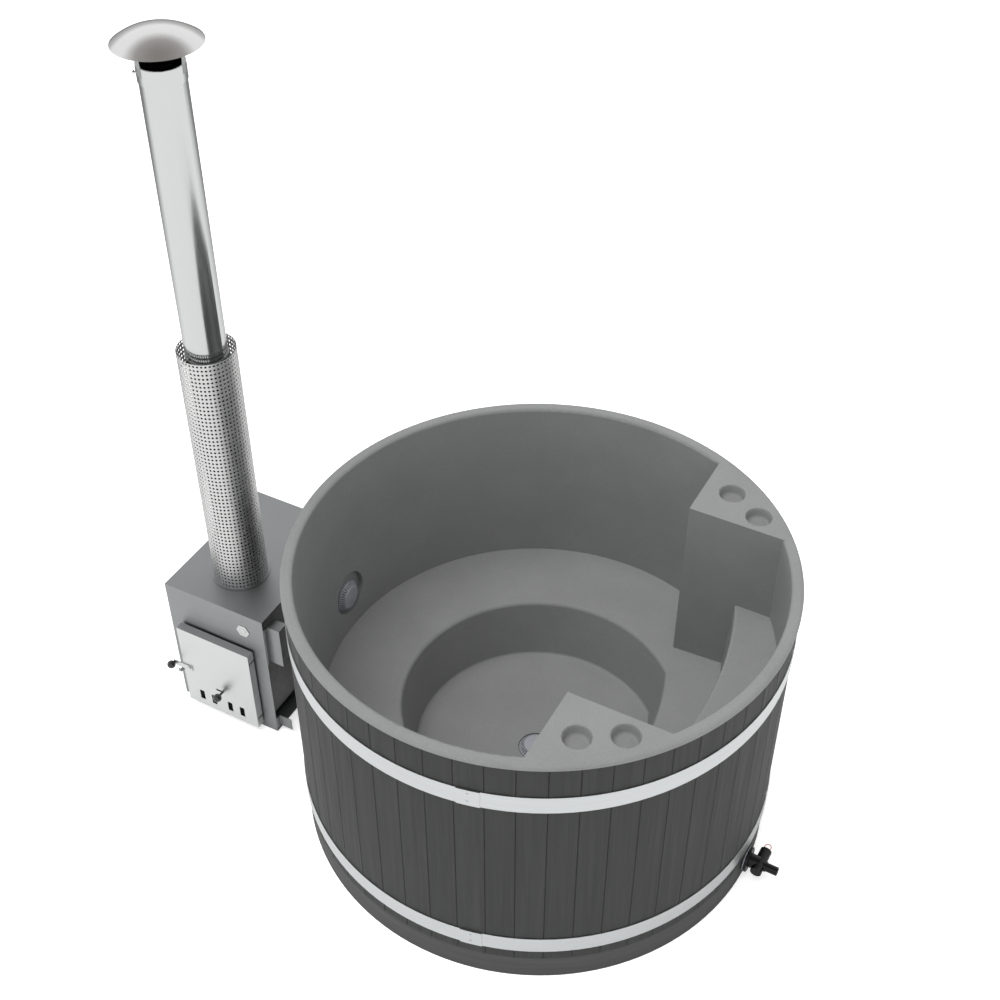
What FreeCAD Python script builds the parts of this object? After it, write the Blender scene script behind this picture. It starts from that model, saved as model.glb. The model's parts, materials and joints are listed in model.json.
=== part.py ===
"""Round hot tub with a moulded liner, a stave skirt and a wood-fired water heater beside it.

The tub's axis is Z, its base stands on Z = 0 and the origin is the centre of that base.
The entry step is on +X and the heater on -X.  Lengths are millimetres, angles degrees.
"""
import FreeCAD, Part
import math
import os
import re
import Sketcher

SIZES = {
    # moulded liner
    "skin": 8,
    "lip_overhang": 5,
    "lip_width": 38,
    "lip_top": 1025,
    "lip_depth": 18,
    "lip_round": 12,
    "wall_draft": 42,
    "seat_outer_height": 412,
    "seat_inner_height": 390,
    "well_radius": 452,
    "well_draft": 44,
    "well_round": 14,
    "floor_height": 176,
    "floor_round": 12,
    "well_cut": 384,
    "well_cut_radius": 860,
    "entry_lip": 40,
    "step_height": 688,
    "step_depth": 179,
    "step_edge_radius": 1256,
    "step_draft": 24,
    "step_round": 8,
    "shelf_reach": 222,
    "shelf_angle": 55.1,
    "shelf_draft": 10.5,
    "block_depth": 90,
    "cup_radius": 42,
    "cup_draft": 7,
    "cup_depth": 34,
    "cup_round": 4,
    "inner_cup_inset": 93,
    "inner_cup_offset": 131.5,
    "outer_cup_inset": 208,
    "outer_cup_offset": 65.5,
    "recess_margin": 22,
    "recess_rise": 18,
    "recess_inset": 50,
    "inlet_rise": 53,
    "inlet_shift": 8,
    "drain_x": 8,
    "drain_y": -22,
    "drain_margin": 4,
    "drain_recess_depth": 6,
    # stave skirt
    "stave_radius": 785,
    "stave_count": 56,
    "stave_thickness": 20,
    "stave_joint": 0.6,
    "stave_bevel": 2,
    "stave_turn": 2.87,
    "stave_panels": 3,
    "tongue_half": 3,
    "tongue_reach": 5,
    "tongue_play": 0.7,
    "hoop_width": 65,
    "hoop_sheet": 2.5,
    "upper_hoop_height": 824,
    "lower_hoop_height": 142,
    "lap_angle": 5,
    "lap_turn": -80,
    "rivet_radius": 4,
    "rivet_rise": 1.5,
    "rivet_angle": 2.4,
    # base
    "base_setback": 3,
    "base_height": 99,
    "base_wall": 30,
    "upstand_height": 150,
    "timber": 45,
    "bearer_spacing": 460,
    "inner_joist_y": 150,
    "outer_joist_y": 340,
    "inner_post_x": 500,
    "outer_post_x": 480,
    "seat_play": 0.3,
    # water fittings
    "pipe_radius": 20,
    "pipe_wall": 3,
    "pipe_play": 0.2,
    "drain_line_height": 72,
    "drain_line_angle": -0.9,
    "cover_radius": 56,
    "cover_face_radius": 39,
    "cover_rim": 6,
    "cover_rise": 22,
    "cover_crown": 3,
    "cover_sheet": 3,
    "cover_slots": 36,
    "slot_width": 3.4,
    "slot_start": 41,
    "slot_end": 53,
    "flange_radius": 50,
    "flange_sheet": 4,
    "nut_radius": 44,
    "nut_depth": 12,
    "sump_radius": 38,
    "sump_foot": 46,
    "sump_wall": 4,
    "socket_radius": 25,
    "socket_end": 64,
    "hose_radius": 25,
    "hose_end": 18,
    "clamp_width": 9,
    "clamp_sheet": 1.5,
    "clamp_screw_radius": 4,
    "clamp_screw_length": 18,
    # drain valve
    "gasket_radius": 40,
    "gasket_sheet": 3,
    "valve_nut_radius": 42.5,
    "valve_nut_depth": 10,
    "valve_neck_radius": 24,
    "barrel_offset": 46,
    "barrel_radius": 19,
    "barrel_bore": 14,
    "barrel_back": 36,
    "barrel_front": 58,
    "barrel_floor": 4,
    "spigot_radius": 14.5,
    "spigot_bore": 10,
    "spigot_end": 108,
    "shoulder_radius": 17,
    "shoulder_end": 70,
    "piston_play": 0.06,
    "piston_half": 13,
    "stem_radius": 4,
    "gland_depth": 6,
    "loop_radius": 12,
    "loop_wire": 1.5,
    "loop_play": 0.9,
    # heater
    "heater_gap": 118,
    "casing_width": 405,
    "casing_depth": 550,
    "casing_front": -267,
    "casing_height": 554,
    "casing_sheet": 3,
    "flue_inset": 210,
    "flue_setback": 178,
    "flue_play": 2,
    "jacket_left_gap": 18,
    "jacket_right_gap": 37,
    "jacket_front_gap": 17,
    "jacket_back_gap": 20,
    "jacket_foot": 40,
    "jacket_headroom": 24,
    "jacket_wall": 35,
    "leg_side": 30,
    "mouth_width": 240,
    "mouth_height": 286,
    "mouth_rise": 1,
    "frame_sheet": 10,
    "frame_proud": 3,
    "port_drop": 45,
    "grate_rise": 45,
    "grate_sheet": 12,
    "grate_play": 8,
    "grate_bars": 9,
    "grate_gap": 12,
    "grate_foot": 20,
    # fire door
    "door_inset": 54,
    "door_width": 302,
    "door_foot_lap": 50,
    "door_top_lap": 30,
    "door_gap": 6,
    "door_depth": 30,
    "door_sheet": 2.5,
    "baffle_margin": 10,
    "baffle_sheet": 8,
    "vent_width": 20,
    "vent_height": 44,
    "vent_rise": 52,
    "vent_inner": 35,
    "vent_outer": 87,
    "slide_sheet": 2,
    "slide_play": 0.3,
    "slide_rise": 22,
    "slide_depth": 104,
    "slide_half": 108,
    "slide_travel": 24,
    "knob_shift": 10,
    "knob_rise": 116,
    "knob_radius": 15,
    "knob_stem": 4,
    "knob_reach": 31,
    "guide_lip": 6,
    "guide_sheet": 2,
    "latch_inset": 28,
    "latch_rise": 176,
    "latch_reach": 68,
    "latch_tail": 12,
    "latch_depth": 22,
    "latch_sheet": 4,
    "latch_pin": 4,
    "latch_pin_head": 8,
    "latch_knob_reach": 12,
    "running_play": 0.05,
    "keeper_reach": 48,
    "keeper_width": 12,
    "keeper_drop": 30,
    "keeper_sheet": 3,
    "keeper_lip": 10,
    "keeper_gap": 5,
    "hinge_inset": 11,
    "hinge_setback": 13,
    "hinge_pin": 4,
    "hinge_half": 7,
    "hinge_sheet": 5,
    "hinge_margin": 42,
    "hinge_clear": 2,
    # brackets on the heater's open side
    "bracket_reach": 52,
    "bracket_setback": 17,
    "bracket_hold": 22,
    "upper_bracket_drop": 39,
    "upper_bracket_height": 168,
    "upper_bracket_shelf": 45,
    "lower_bracket_foot": 16,
    "lower_bracket_height": 52,
    # chimney
    "flue_radius": 66,
    "flue_sheet": 2,
    "flue_length": 1861,
    "collar_rise": 66,
    "collar_sheet": 3,
    "flange_ring_lap": 9,
    "guard_gap": 27,
    "guard_sheet": 1.5,
    "guard_length": 938,
    "spacer_drop": 16,
    "spacer_height": 18,
    "spacer_rise": 43,
    "spacer_arms": 3,
    "spacer_width": 14,
    "spacer_sheet": 2,
    "sleeve_depth": 48,
    "sleeve_sheet": 2,
    "strap_width": 18,
    "strap_count": 3,
    "strap_turn": 12,
    "strap_spread": 12,
    "cap_overhang": 60,
    "cap_gap": 55,
    "cap_rise": 42,
    "cap_sheet": 1.5,
    "cap_bolt_radius": 6,
    "cap_bolt_length": 9,
    "cap_bolt_turn": -140,
    "overrun": 20,
}

DERIVED = {
    # liner
    "lip_radius": "stave_radius + lip_overhang",
    "wall_top_radius": "lip_radius - lip_width",
    "wall_foot_radius": "wall_top_radius - wall_draft",
    "lip_underside": "lip_top - lip_depth",
    "wall_top_height": "lip_top - lip_round",
    "seat_slope": "(seat_outer_height - seat_inner_height) / (wall_foot_radius - well_radius)",
    "seat_centre_height": "seat_inner_height - seat_slope * well_radius",
    "wall_slope": "(wall_top_radius - wall_foot_radius) / (wall_top_height - seat_outer_height)",
    "well_height": "seat_inner_height - floor_height",
    "well_foot_radius": "well_radius - well_draft",
    "entry_radius": "lip_radius - entry_lip",
    "step_edge": "entry_radius - step_depth",
    "shelf_corner": "wall_top_radius - shelf_reach",
    "shelf_side": "shelf_corner * cos(shelf_angle)",
    "shelf_top_gap": "shelf_corner * sin(shelf_angle)",
    "shelf_foot_gap": "shelf_top_gap - shelf_draft",
    "block_foot": "seat_inner_height - block_depth",
    "step_block_height": "step_height - block_foot",
    "cup_foot_radius": "cup_radius - cup_draft",
    "recess_radius": "cover_radius + recess_margin",
    "recess_height": "inlet_height + recess_rise",
    "recess_floor": "stave_radius - recess_inset",
    "recess_back": "recess_floor + skin",
    "inlet_height": "upper_port_height + inlet_rise",
    "drain_recess_radius": "cover_radius + drain_margin",
    "drain_seat": "floor_height - drain_recess_depth",
    "well_parting": "seat_inner_height - 2 * skin",
    "seat_parting": "seat_outer_height + 2 * skin",
    "shelf_parting": "shelf_side - skin",
    "step_parting": "shelf_foot_gap - skin",
    # stave skirt
    "stave_pitch": "360 / stave_count",
    "panel_staves": "ceil((stave_count - 1) / stave_panels)",
    "last_staves": "stave_count - 1 - (stave_panels - 1) * panel_staves",
    "stave_face": "stave_radius * cos(stave_pitch / 2)",
    "stave_back": "stave_face - stave_thickness",
    "stave_shoulder": "stave_face - stave_bevel",
    "stave_middle": "stave_face - stave_thickness / 2",
    "stave_spread": "tan(stave_pitch / 2)",
    "face_half": "stave_face * stave_spread - stave_joint / 2 - stave_bevel",
    "shoulder_half": "stave_shoulder * stave_spread - stave_joint / 2",
    "middle_half": "stave_middle * stave_spread - stave_joint / 2",
    "back_half": "stave_back * stave_spread - stave_joint / 2",
    "hoop_bore": "stave_radius + seat_play",
    "hoop_radius": "hoop_bore + hoop_sheet",
    "upper_hoop_top": "upper_hoop_height + hoop_width",
    "backing_radius": "stave_back - seat_play",
    "backing_bore": "wall_foot_radius + skin + seat_play"
                    " + wall_slope * (upper_hoop_top - seat_outer_height + skin)",
    "base_radius": "stave_radius - base_setback",
    "base_bore": "base_radius - base_wall",
    "frame_radius": "base_bore - seat_play",
    "joist_top": "floor_height - skin",
    "inner_post_radius": "sqrt((inner_post_x - timber / 2)^2 + (inner_joist_y - timber / 2)^2)",
    "outer_post_radius": "sqrt((outer_post_x - timber / 2)^2 + (outer_joist_y - timber / 2)^2)",
    "inner_post_top": "seat_centre_height - skin + seat_slope * inner_post_radius - seat_play",
    "outer_post_top": "seat_centre_height - skin + seat_slope * outer_post_radius - seat_play",
    # water fittings
    "cover_top": "cover_rise + cover_crown",
    "pipe_hole": "pipe_radius + pipe_play",
    "pipe_bore": "pipe_radius - pipe_wall",
    "hose_bore": "pipe_radius + pipe_play",
    "valve_face": "stave_radius - drain_x + seat_play",
    "valve_nut_face": "valve_face + gasket_sheet",
    "valve_neck_face": "valve_nut_face + valve_nut_depth",
    "barrel_axis": "valve_face + barrel_offset",
    "hose_start": "0 - stave_radius - 2 * seat_play",
    # heater
    "casing_right": "0 - stave_radius - heater_gap",
    "casing_left": "casing_right - casing_width",
    "casing_back": "casing_front + casing_depth",
    "flue_x": "casing_right - flue_inset",
    "flue_y": "casing_front + flue_setback",
    "jacket_left": "casing_left + jacket_left_gap",
    "jacket_right": "casing_right - jacket_right_gap",
    "jacket_front": "casing_front + jacket_front_gap",
    "jacket_back": "casing_back - jacket_back_gap",
    "jacket_top": "casing_height - jacket_headroom",
    "upper_port_height": "jacket_top - port_drop",
    "fire_left": "jacket_left + jacket_wall",
    "fire_right": "jacket_right - jacket_wall",
    "fire_foot": "jacket_foot + jacket_wall",
    "fire_back": "jacket_back - jacket_wall",
    "grate_height": "fire_foot + grate_rise",
    "mouth_left": "door_middle - mouth_width / 2",
    "mouth_right": "door_middle + mouth_width / 2",
    "mouth_foot": "fire_foot + mouth_rise",
    "mouth_top": "mouth_foot + mouth_height",
    "door_right": "casing_right - door_inset",
    "door_left": "door_right - door_width",
    "door_middle": "(door_left + door_right) / 2",
    "door_foot": "mouth_foot - door_foot_lap",
    "door_top": "mouth_top + door_top_lap",
    "door_back": "casing_front - door_gap",
    "door_face": "door_back - door_depth",
    "door_inside": "door_face + door_sheet",
    "vent_centre_height": "door_foot + vent_rise",
    "slide_foot": "door_foot + slide_rise",
    "slide_top": "slide_foot + slide_depth",
    "knob_x": "door_middle + knob_shift",
    "knob_height": "door_foot + knob_rise",
    "slide_face": "door_inside + slide_play",
    "slide_back": "slide_face + slide_sheet",
    "latch_x": "door_left + latch_inset",
    "latch_height": "door_foot + latch_rise",
    "latch_face": "door_face - seat_play - latch_sheet",
    "keeper_left": "latch_x - keeper_reach",
    "keeper_height": "latch_height - keeper_drop",
    "hinge_x": "door_right - hinge_inset",
    "hinge_y": "door_back - hinge_setback",
    "upper_hinge": "door_top - hinge_margin",
    "lower_hinge": "door_foot + hinge_margin",
    "casing_lining": "casing_front + casing_sheet",
    "upper_bracket_top": "casing_height - upper_bracket_drop",
    "upper_bracket_foot": "upper_bracket_top - upper_bracket_height",
    "lower_bracket_top": "lower_bracket_foot + lower_bracket_height",
    # chimney
    "flue_foot": "casing_height + casing_sheet",
    "flue_top": "flue_foot + flue_length",
    "collar_top": "casing_height + collar_rise",
    "guard_radius": "flue_radius + guard_gap",
    "guard_top": "flue_foot + guard_length",
    "flange_ring_radius": "guard_radius + flange_ring_lap",
    "spacer_foot": "flue_foot + spacer_rise",
    "cap_radius": "flue_radius + cap_overhang",
    "cap_rim_height": "flue_top + cap_gap",
    "flue_bore": "flue_radius - flue_sheet",
    "collar_radius": "flue_bore - flue_play / 2",
    "sleeve_bore": "flue_radius + seat_play",
    "sleeve_radius": "sleeve_bore + sleeve_sheet",
    "dome_radius": "(cap_radius^2 + cap_rise^2) / (2 * cap_rise)",
    "dome_centre": "cap_rim_height + cap_rise - dome_radius",
    "dome_angle": "acos(cap_radius / dome_radius)",
    "strap_top_radius": "sleeve_radius + strap_spread",
    "strap_top": "dome_centre + sqrt((dome_radius - cap_sheet)^2 - strap_top_radius^2) - seat_play",
}

MATCH = 0.001
NEAR = 6.0

ALONG = {
    "Z": FreeCAD.Rotation(),
    "X": FreeCAD.Rotation(FreeCAD.Vector(0, 1, 0), 90),
    "-X": FreeCAD.Rotation(FreeCAD.Vector(0, 1, 0), -90),
    "Y": FreeCAD.Rotation(FreeCAD.Vector(1, 0, 0), -90),
    "-Y": FreeCAD.Rotation(FreeCAD.Vector(1, 0, 0), 90),
}

doc = FreeCAD.newDocument("hot_tub")
sheet = doc.addObject("Spreadsheet::Sheet", "Sizes")
nodes = {}


def fill_sheet():
    """Write the driving sizes as plain numbers and the derived ones as formulas."""
    rows = [(name, str(size)) for name, size in SIZES.items()]
    rows += [(name, "=" + formula) for name, formula in DERIVED.items()]
    for row, (name, text) in enumerate(rows, start=1):
        sheet.set("A%d" % row, name)
        sheet.set("B%d" % row, text)
        sheet.setAlias("B%d" % row, name)
    doc.recompute()


def size(name):
    """Number that a cell of the sheet holds."""
    return float(sheet.get(name))


def linked(text):
    """Formula on the sheet's names, as other objects have to write it."""
    def full(match):
        word = match.group(0)
        return "Sizes." + word if word in SIZES or word in DERIVED else word
    return re.sub(r"[a-z][a-z_]+", full, str(text))


def bind(item, **formulas):
    """Tie properties of an object to formulas on the sheet."""
    for name, text in formulas.items():
        item.setExpression(name.replace("__", "."), linked(text))
    return item


def place(item, x="0", y="0", z="0", along="Z"):
    """Put an object at a place that the sheet gives, with its own Z turned along an axis."""
    item.Placement = FreeCAD.Placement(FreeCAD.Vector(), ALONG[along])
    return bind(item, Placement__Base__x=x, Placement__Base__y=y, Placement__Base__z=z)


def turn(item, angle, x="0", y="0", z="0"):
    """Turn an object about the upright line through x, y."""
    item.Placement = FreeCAD.Placement(FreeCAD.Vector(), FreeCAD.Rotation(FreeCAD.Vector(0, 0, 1), 1))
    bind(item, Placement__Rotation__Angle=angle)
    return bind(item, Placement__Base__x=x, Placement__Base__y=y, Placement__Base__z=z)


def box(x_span, y_span, z_span):
    """Box between two formulas along each axis."""
    item = doc.addObject("Part::Box", "Box")
    bind(item, Length="(%s) - (%s)" % (x_span[1], x_span[0]), Width="(%s) - (%s)" % (y_span[1], y_span[0]),
         Height="(%s) - (%s)" % (z_span[1], z_span[0]))
    return place(item, x_span[0], y_span[0], z_span[0])


def rod(radius, length, x="0", y="0", z="0", along="Z"):
    """Cylinder that starts at x, y, z."""
    item = doc.addObject("Part::Cylinder", "Rod")
    bind(item, Radius=radius, Height=length)
    return place(item, x, y, z, along)


def taper(foot_radius, top_radius, height, x="0", y="0", z="0", along="Z"):
    """Cone frustum that starts at x, y, z."""
    item = doc.addObject("Part::Cone", "Taper")
    bind(item, Radius1=foot_radius, Radius2=top_radius, Height=height)
    return place(item, x, y, z, along)


def ball(radius, x, y, z):
    """Sphere about x, y, z."""
    item = doc.addObject("Part::Sphere", "Ball")
    bind(item, Radius=radius)
    return place(item, x, y, z)


def ring(ring_radius, wire_radius, x="0", y="0", z="0", along="Z"):
    """Torus about x, y, z."""
    item = doc.addObject("Part::Torus", "Ring")
    bind(item, Radius1=ring_radius, Radius2=wire_radius)
    return place(item, x, y, z, along)


def prism(corners, radius, length, x="0", y="0", z="0", along="Z"):
    """Regular prism that starts at x, y, z."""
    item = doc.addObject("Part::Prism", "Prism")
    item.Polygon = corners
    bind(item, Circumradius=radius, Height=length)
    return place(item, x, y, z, along)


def fuse(*parts):
    """One solid, or group of solids, from several."""
    item = doc.addObject("Part::MultiFuse", "Union")
    item.Shapes = list(parts)
    item.Refine = True
    return item


def carried(item):
    """Holder of one piece that has a place of its own, so that the piece can be turned as a whole."""
    holder = doc.addObject("Part::Compound", "Holder")
    holder.Links = [item]
    return holder


def cut(base, *tools):
    """The base less the tools."""
    item = doc.addObject("Part::Cut", "Cut")
    item.Base = base
    item.Tool = tools[0] if len(tools) == 1 else fuse(*tools)
    item.Refine = True
    return item


def common(first, second):
    """What two solids share."""
    item = doc.addObject("Part::MultiCommon", "Common")
    item.Shapes = [first, second]
    item.Refine = True
    return item


def tube(radius, bore, length, x="0", y="0", z="0", along="Z"):
    """Plain pipe that starts at x, y, z."""
    return cut(rod(radius, length, x, y, z, along), rod(bore, length, x, y, z, along))


def origin_plane(body, role):
    """One of a body's own origin planes."""
    return [plane for plane in body.Origin.OriginFeatures if plane.Role == role][0]


def outline(body, role, points):
    """Closed sketch through points that are pairs of formulas."""
    sketch = body.newObject("Sketcher::SketchObject", "Outline")
    sketch.AttachmentSupport = [(origin_plane(body, role), "")]
    sketch.MapMode = "FlatFace"
    count = len(points)
    # the starting places are only a loop of the right order, which the constraints then move
    start = [FreeCAD.Vector(math.cos(math.tau * k / count), math.sin(math.tau * k / count), 0)
             for k in range(count)]
    for k in range(count):
        sketch.addGeometry(Part.LineSegment(start[k], start[(k + 1) % count]), False)
    for k in range(count):
        sketch.addConstraint(Sketcher.Constraint("Coincident", k, 2, (k + 1) % count, 1))
    for k, point in enumerate(points):
        for kind, axis, text in (("DistanceX", -2, point[0]), ("DistanceY", -1, point[1])):
            if text == "0":
                sketch.addConstraint(Sketcher.Constraint("PointOnObject", k, 1, axis))
                continue
            number = sketch.addConstraint(Sketcher.Constraint(kind, -1, 1, k, 1, 1))
            name = "%s_%d" % (kind, k)
            sketch.renameConstraint(number, name)
            sketch.setExpression("Constraints." + name, linked(text))
    return sketch


def turned(points):
    """Body of revolution about Z from its section, radius first and height second."""
    body = doc.addObject("PartDesign::Body", "Turned")
    sketch = outline(body, "XZ_Plane", points)
    doc.recompute()
    revolution = body.newObject("PartDesign::Revolution", "Revolution")
    revolution.Profile = sketch
    revolution.ReferenceAxis = (sketch, ["V_Axis"])
    revolution.Angle = 360
    doc.recompute()
    return body


def padded(role, points, length):
    """Body of one thickness from its outline."""
    body = doc.addObject("PartDesign::Body", "Padded")
    sketch = outline(body, role, points)
    doc.recompute()
    pad = body.newObject("PartDesign::Pad", "Pad")
    pad.Profile = sketch
    bind(pad, Length=length)
    doc.recompute()
    return body


def repeated(body, feature, axis_sketch, copies, angle, mode="Extent"):
    """Repeat the last feature of a body about the normal of a sketch."""
    pattern = body.newObject("PartDesign::PolarPattern", "Pattern")
    pattern.Originals = [feature]
    pattern.Axis = (axis_sketch, ["N_Axis"])
    pattern.Mode = mode
    bind(pattern, Occurrences=copies)
    bind(pattern, **{"Angle" if mode == "Extent" else "Offset": angle})
    body.Tip = pattern
    return pattern


def rounded(body, edges, radius):
    """Fillet the circles of a body that lie at the given radius and height."""
    base = body.Tip
    names = []
    for number, edge in enumerate(base.Shape.Edges, start=1):
        curve = edge.Curve
        if not isinstance(curve, Part.Circle):
            continue
        for name_r, name_z in edges:
            same_radius = abs(curve.Radius - size(name_r)) < MATCH
            same_height = abs(curve.Center.z - size(name_z)) < MATCH
            if same_radius and same_height:
                names.append("Edge%d" % number)
    fillet = body.newObject("PartDesign::Fillet", "Fillet")
    fillet.Base = (base, names)
    bind(fillet, Radius=radius)
    doc.recompute()
    return body


def softened(item, radius, spots):
    """Fillet the edges of a piece whose middles lie at the given points."""
    numbers = []
    for number, edge in enumerate(item.Shape.Edges, start=1):
        middle = edge.valueAt((edge.FirstParameter + edge.LastParameter) / 2)
        if any((middle - spot).Length < NEAR for spot in spots):
            numbers.append(number)
    fillet = doc.addObject("Part::Fillet", "Softened")
    fillet.Base = item
    fillet.Edges = [(number, size(radius), size(radius)) for number in numbers]
    doc.recompute()
    return fillet


def node(name, item):
    """Name a finished piece, which becomes one file."""
    item.Label = name
    nodes[name] = item
    return item


def drafted_block(side, foot_gap, top_gap, top, mirrored):
    """Upright block with one leaning face, from the shelf's side out past the wall."""
    item = doc.addObject("Part::Wedge", "Block")
    item.Placement = FreeCAD.Placement(FreeCAD.Vector(), FreeCAD.Rotation(FreeCAD.Vector(1, 0, 0), 90))
    bind(item, Xmin=side, Xmax="lip_radius", X2min=side, X2max="lip_radius", Ymin="block_foot", Ymax=top)
    if mirrored:
        return bind(item, Zmin=foot_gap, Zmax="lip_radius", Z2min=top_gap, Z2max="lip_radius")
    return bind(item, Zmin="0 - lip_radius", Zmax="0 - (%s)" % foot_gap, Z2min="0 - lip_radius",
                Z2max="0 - (%s)" % top_gap)


def step_block(half_width, top, inset):
    """Block under the entry step, whose inner face is an arc about a point beyond the tub."""
    block = box(("shelf_side", "lip_radius"), ("0 - (%s)" % half_width, half_width), ("block_foot", top))
    centre = "step_edge - step_edge_radius"
    hollow = taper("step_edge_radius - step_draft + %s" % inset, "step_edge_radius + %s" % inset,
                   "step_block_height", x=centre, z="block_foot")
    return cut(block, hollow)


def well(offset, foot, height):
    """Foot well: a tapered round whose entry side is cut by a shallower arc."""
    round_part = taper("well_foot_radius + %s" % offset, "well_radius + %s" % offset, height, z=foot)
    arc_part = taper("well_cut_radius - well_draft + %s" % offset, "well_cut_radius + %s" % offset, height,
                     x="well_cut - well_cut_radius", z=foot)
    return common(round_part, arc_part)


def entry_bay(radius, foot, top, half_width):
    """Steeper piece of wall between the two shelves, above the entry step."""
    return common(rod(radius, "(%s) - (%s)" % (top, foot), z=foot),
                  box(("shelf_side", "lip_radius"), ("0 - (%s)" % half_width, half_width), (foot, top)))


def cup(x, y, extra, depth):
    """Drink cup sunk into a shelf, as the hollow or as its skin."""
    return taper("cup_foot_radius + %s" % extra, "cup_radius + %s" % extra, depth, x=x, y=y,
                 z="lip_top - (%s)" % depth)


def cup_rim(x, y):
    """Space over the rounded rim of a cup."""
    return cut(rod("cup_radius + cup_round", "cup_round + overrun", x, y, "lip_top - cup_round"),
               ring("cup_radius + cup_round", "cup_round", x, y, "lip_top - cup_round"))


def rim_points(radius, height):
    """Middles of the three edges of the well at its top or its foot."""
    centre = size("well_cut") - size("well_cut_radius")
    far = size("well_cut_radius") - size("well_radius") + radius
    # where the round and the shallower arc cross
    cross_x = (radius * radius - far * far + centre * centre) / (2 * centre)
    cross_y = math.sqrt(radius * radius - cross_x * cross_x)
    side = math.atan2(cross_y, cross_x - centre) / 2
    points = [FreeCAD.Vector(-radius, 0, height)]
    for angle in (side, -side):
        points.append(FreeCAD.Vector(centre + far * math.cos(angle), far * math.sin(angle), height))
    return points


def liner_shape():
    """The whole moulding before it is parted for its nodes."""
    envelope = rounded(turned([("0", "seat_centre_height - skin"),
                               ("wall_foot_radius + skin", "seat_outer_height - skin + seat_slope * skin"),
                               ("wall_top_radius + skin", "lip_underside"),
                               ("lip_radius", "lip_underside"),
                               ("lip_radius", "lip_top"),
                               ("0", "lip_top")]), [("lip_radius", "lip_top")], "lip_round")
    inlet_pad = rod("recess_radius + skin", "recess_back - wall_foot_radius", x="0 - recess_back",
                    y="0 - inlet_shift", z="recess_height", along="X")
    drain_pad = rod("drain_recess_radius + skin", "drain_recess_depth + skin", x="drain_x", y="drain_y",
                    z="drain_seat - skin")
    outside = fuse(envelope, well("skin", "floor_height - skin", "well_height"),
                   entry_bay("entry_radius + skin", "step_height - skin", "lip_underside",
                             "shelf_top_gap + skin"),
                   inlet_pad, drain_pad)
    room = turned([("0", "seat_centre_height"),
                   ("wall_foot_radius", "seat_outer_height"),
                   ("wall_top_radius", "wall_top_height"),
                   ("wall_top_radius", "lip_top + overrun"),
                   ("0", "lip_top + overrun")])
    flare = cut(rod("wall_top_radius + lip_round", "lip_round + overrun", z="wall_top_height"),
                ring("wall_top_radius + lip_round", "lip_round", z="wall_top_height"))
    inlet_recess = rod("recess_radius", "recess_floor - wall_foot_radius + overrun", x="0 - recess_floor",
                       y="0 - inlet_shift", z="recess_height", along="X")
    drain_recess = rod("drain_recess_radius", "drain_recess_depth + overrun", x="drain_x", y="drain_y",
                       z="drain_seat")
    space = fuse(room, flare, well("0", "floor_height", "well_height"),
                 entry_bay("entry_radius", "step_height", "lip_top + overrun", "shelf_top_gap + skin"),
                 inlet_recess, drain_recess)
    blocks = [drafted_block("shelf_side", "shelf_foot_gap", "shelf_top_gap", "lip_top", mirrored)
              for mirrored in (False, True)]
    inside = cut(space, *blocks, step_block("shelf_top_gap + skin", "step_height", "0"))
    cups, voids = [], [step_block("shelf_foot_gap", "step_height - skin", "skin")]
    for mirrored in (False, True):
        sign = "0 - " if mirrored else ""
        spots = [("shelf_side + inner_cup_inset", sign + "(shelf_top_gap + inner_cup_offset)"),
                 ("shelf_side + outer_cup_inset", sign + "(shelf_top_gap + outer_cup_offset)")]
        for x, y in spots:
            cups += [cup(x, y, "0", "cup_depth"), cup_rim(x, y)]
        skins = [cup(x, y, "skin", "cup_depth + skin") for x, y in spots]
        hollow = drafted_block("shelf_side + skin", "shelf_foot_gap + skin", "shelf_top_gap + skin",
                               "lip_underside", mirrored)
        voids.append(cut(hollow, *skins))
    holes = [rod("pipe_hole", "skin + 2 * overrun", x="0 - recess_back - overrun", y="0 - inlet_shift",
                 z="inlet_height", along="X"),
             rod("sump_radius + pipe_play", "skin + 2 * overrun", x="drain_x", y="drain_y",
                 z="drain_seat - skin - overrun")]
    whole = cut(outside, inside, *cups, *voids, *holes)
    doc.recompute()
    whole = softened(whole, "floor_round", rim_points(size("well_foot_radius"), size("floor_height")))
    whole = softened(whole, "well_round", well_edge_points())
    return softened(whole, "step_round", step_edge_points())


def well_edge_points():
    """Middles of the edges between the seat and the well."""
    slope, centre_height = size("seat_slope"), size("seat_centre_height")
    points = rim_points(size("well_radius"), size("seat_inner_height"))
    return [FreeCAD.Vector(p.x, p.y, centre_height + slope * math.hypot(p.x, p.y)) for p in points]


def step_edge_points():
    """Middles of the two halves of the entry step's edge."""
    centre, radius = size("step_edge") - size("step_edge_radius"), size("step_edge_radius")
    half = math.asin(size("shelf_top_gap") / radius) / 2
    return [FreeCAD.Vector(centre + radius * math.cos(angle), radius * math.sin(angle), size("step_height"))
            for angle in (half, -half)]


def make_liner():
    """Moulded liner, parted by flat faces into well, seat, wall, entry step and the two shelves."""
    whole = liner_shape()
    reach = "lip_radius + overrun"
    full, upper = ("0 - (%s)" % reach, reach), ("seat_parting", "lip_top + overrun")
    node("liner_well", common(whole, box(full, full, ("0", "well_parting"))))
    node("liner_seat", common(whole, box(full, full, ("well_parting", "seat_parting"))))
    node("liner_wall", common(whole, box(("0 - (%s)" % reach, "shelf_parting"), full, upper)))
    entry = ("shelf_parting", reach)
    node("liner_step", common(whole, box(entry, ("0 - step_parting", "step_parting"), upper)))
    back = box(entry, ("step_parting", reach), upper)
    front = box(entry, ("0 - (%s)" % reach, "0 - step_parting"), upper)
    node("liner_shelves", common(whole, fuse(back, front)))


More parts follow.
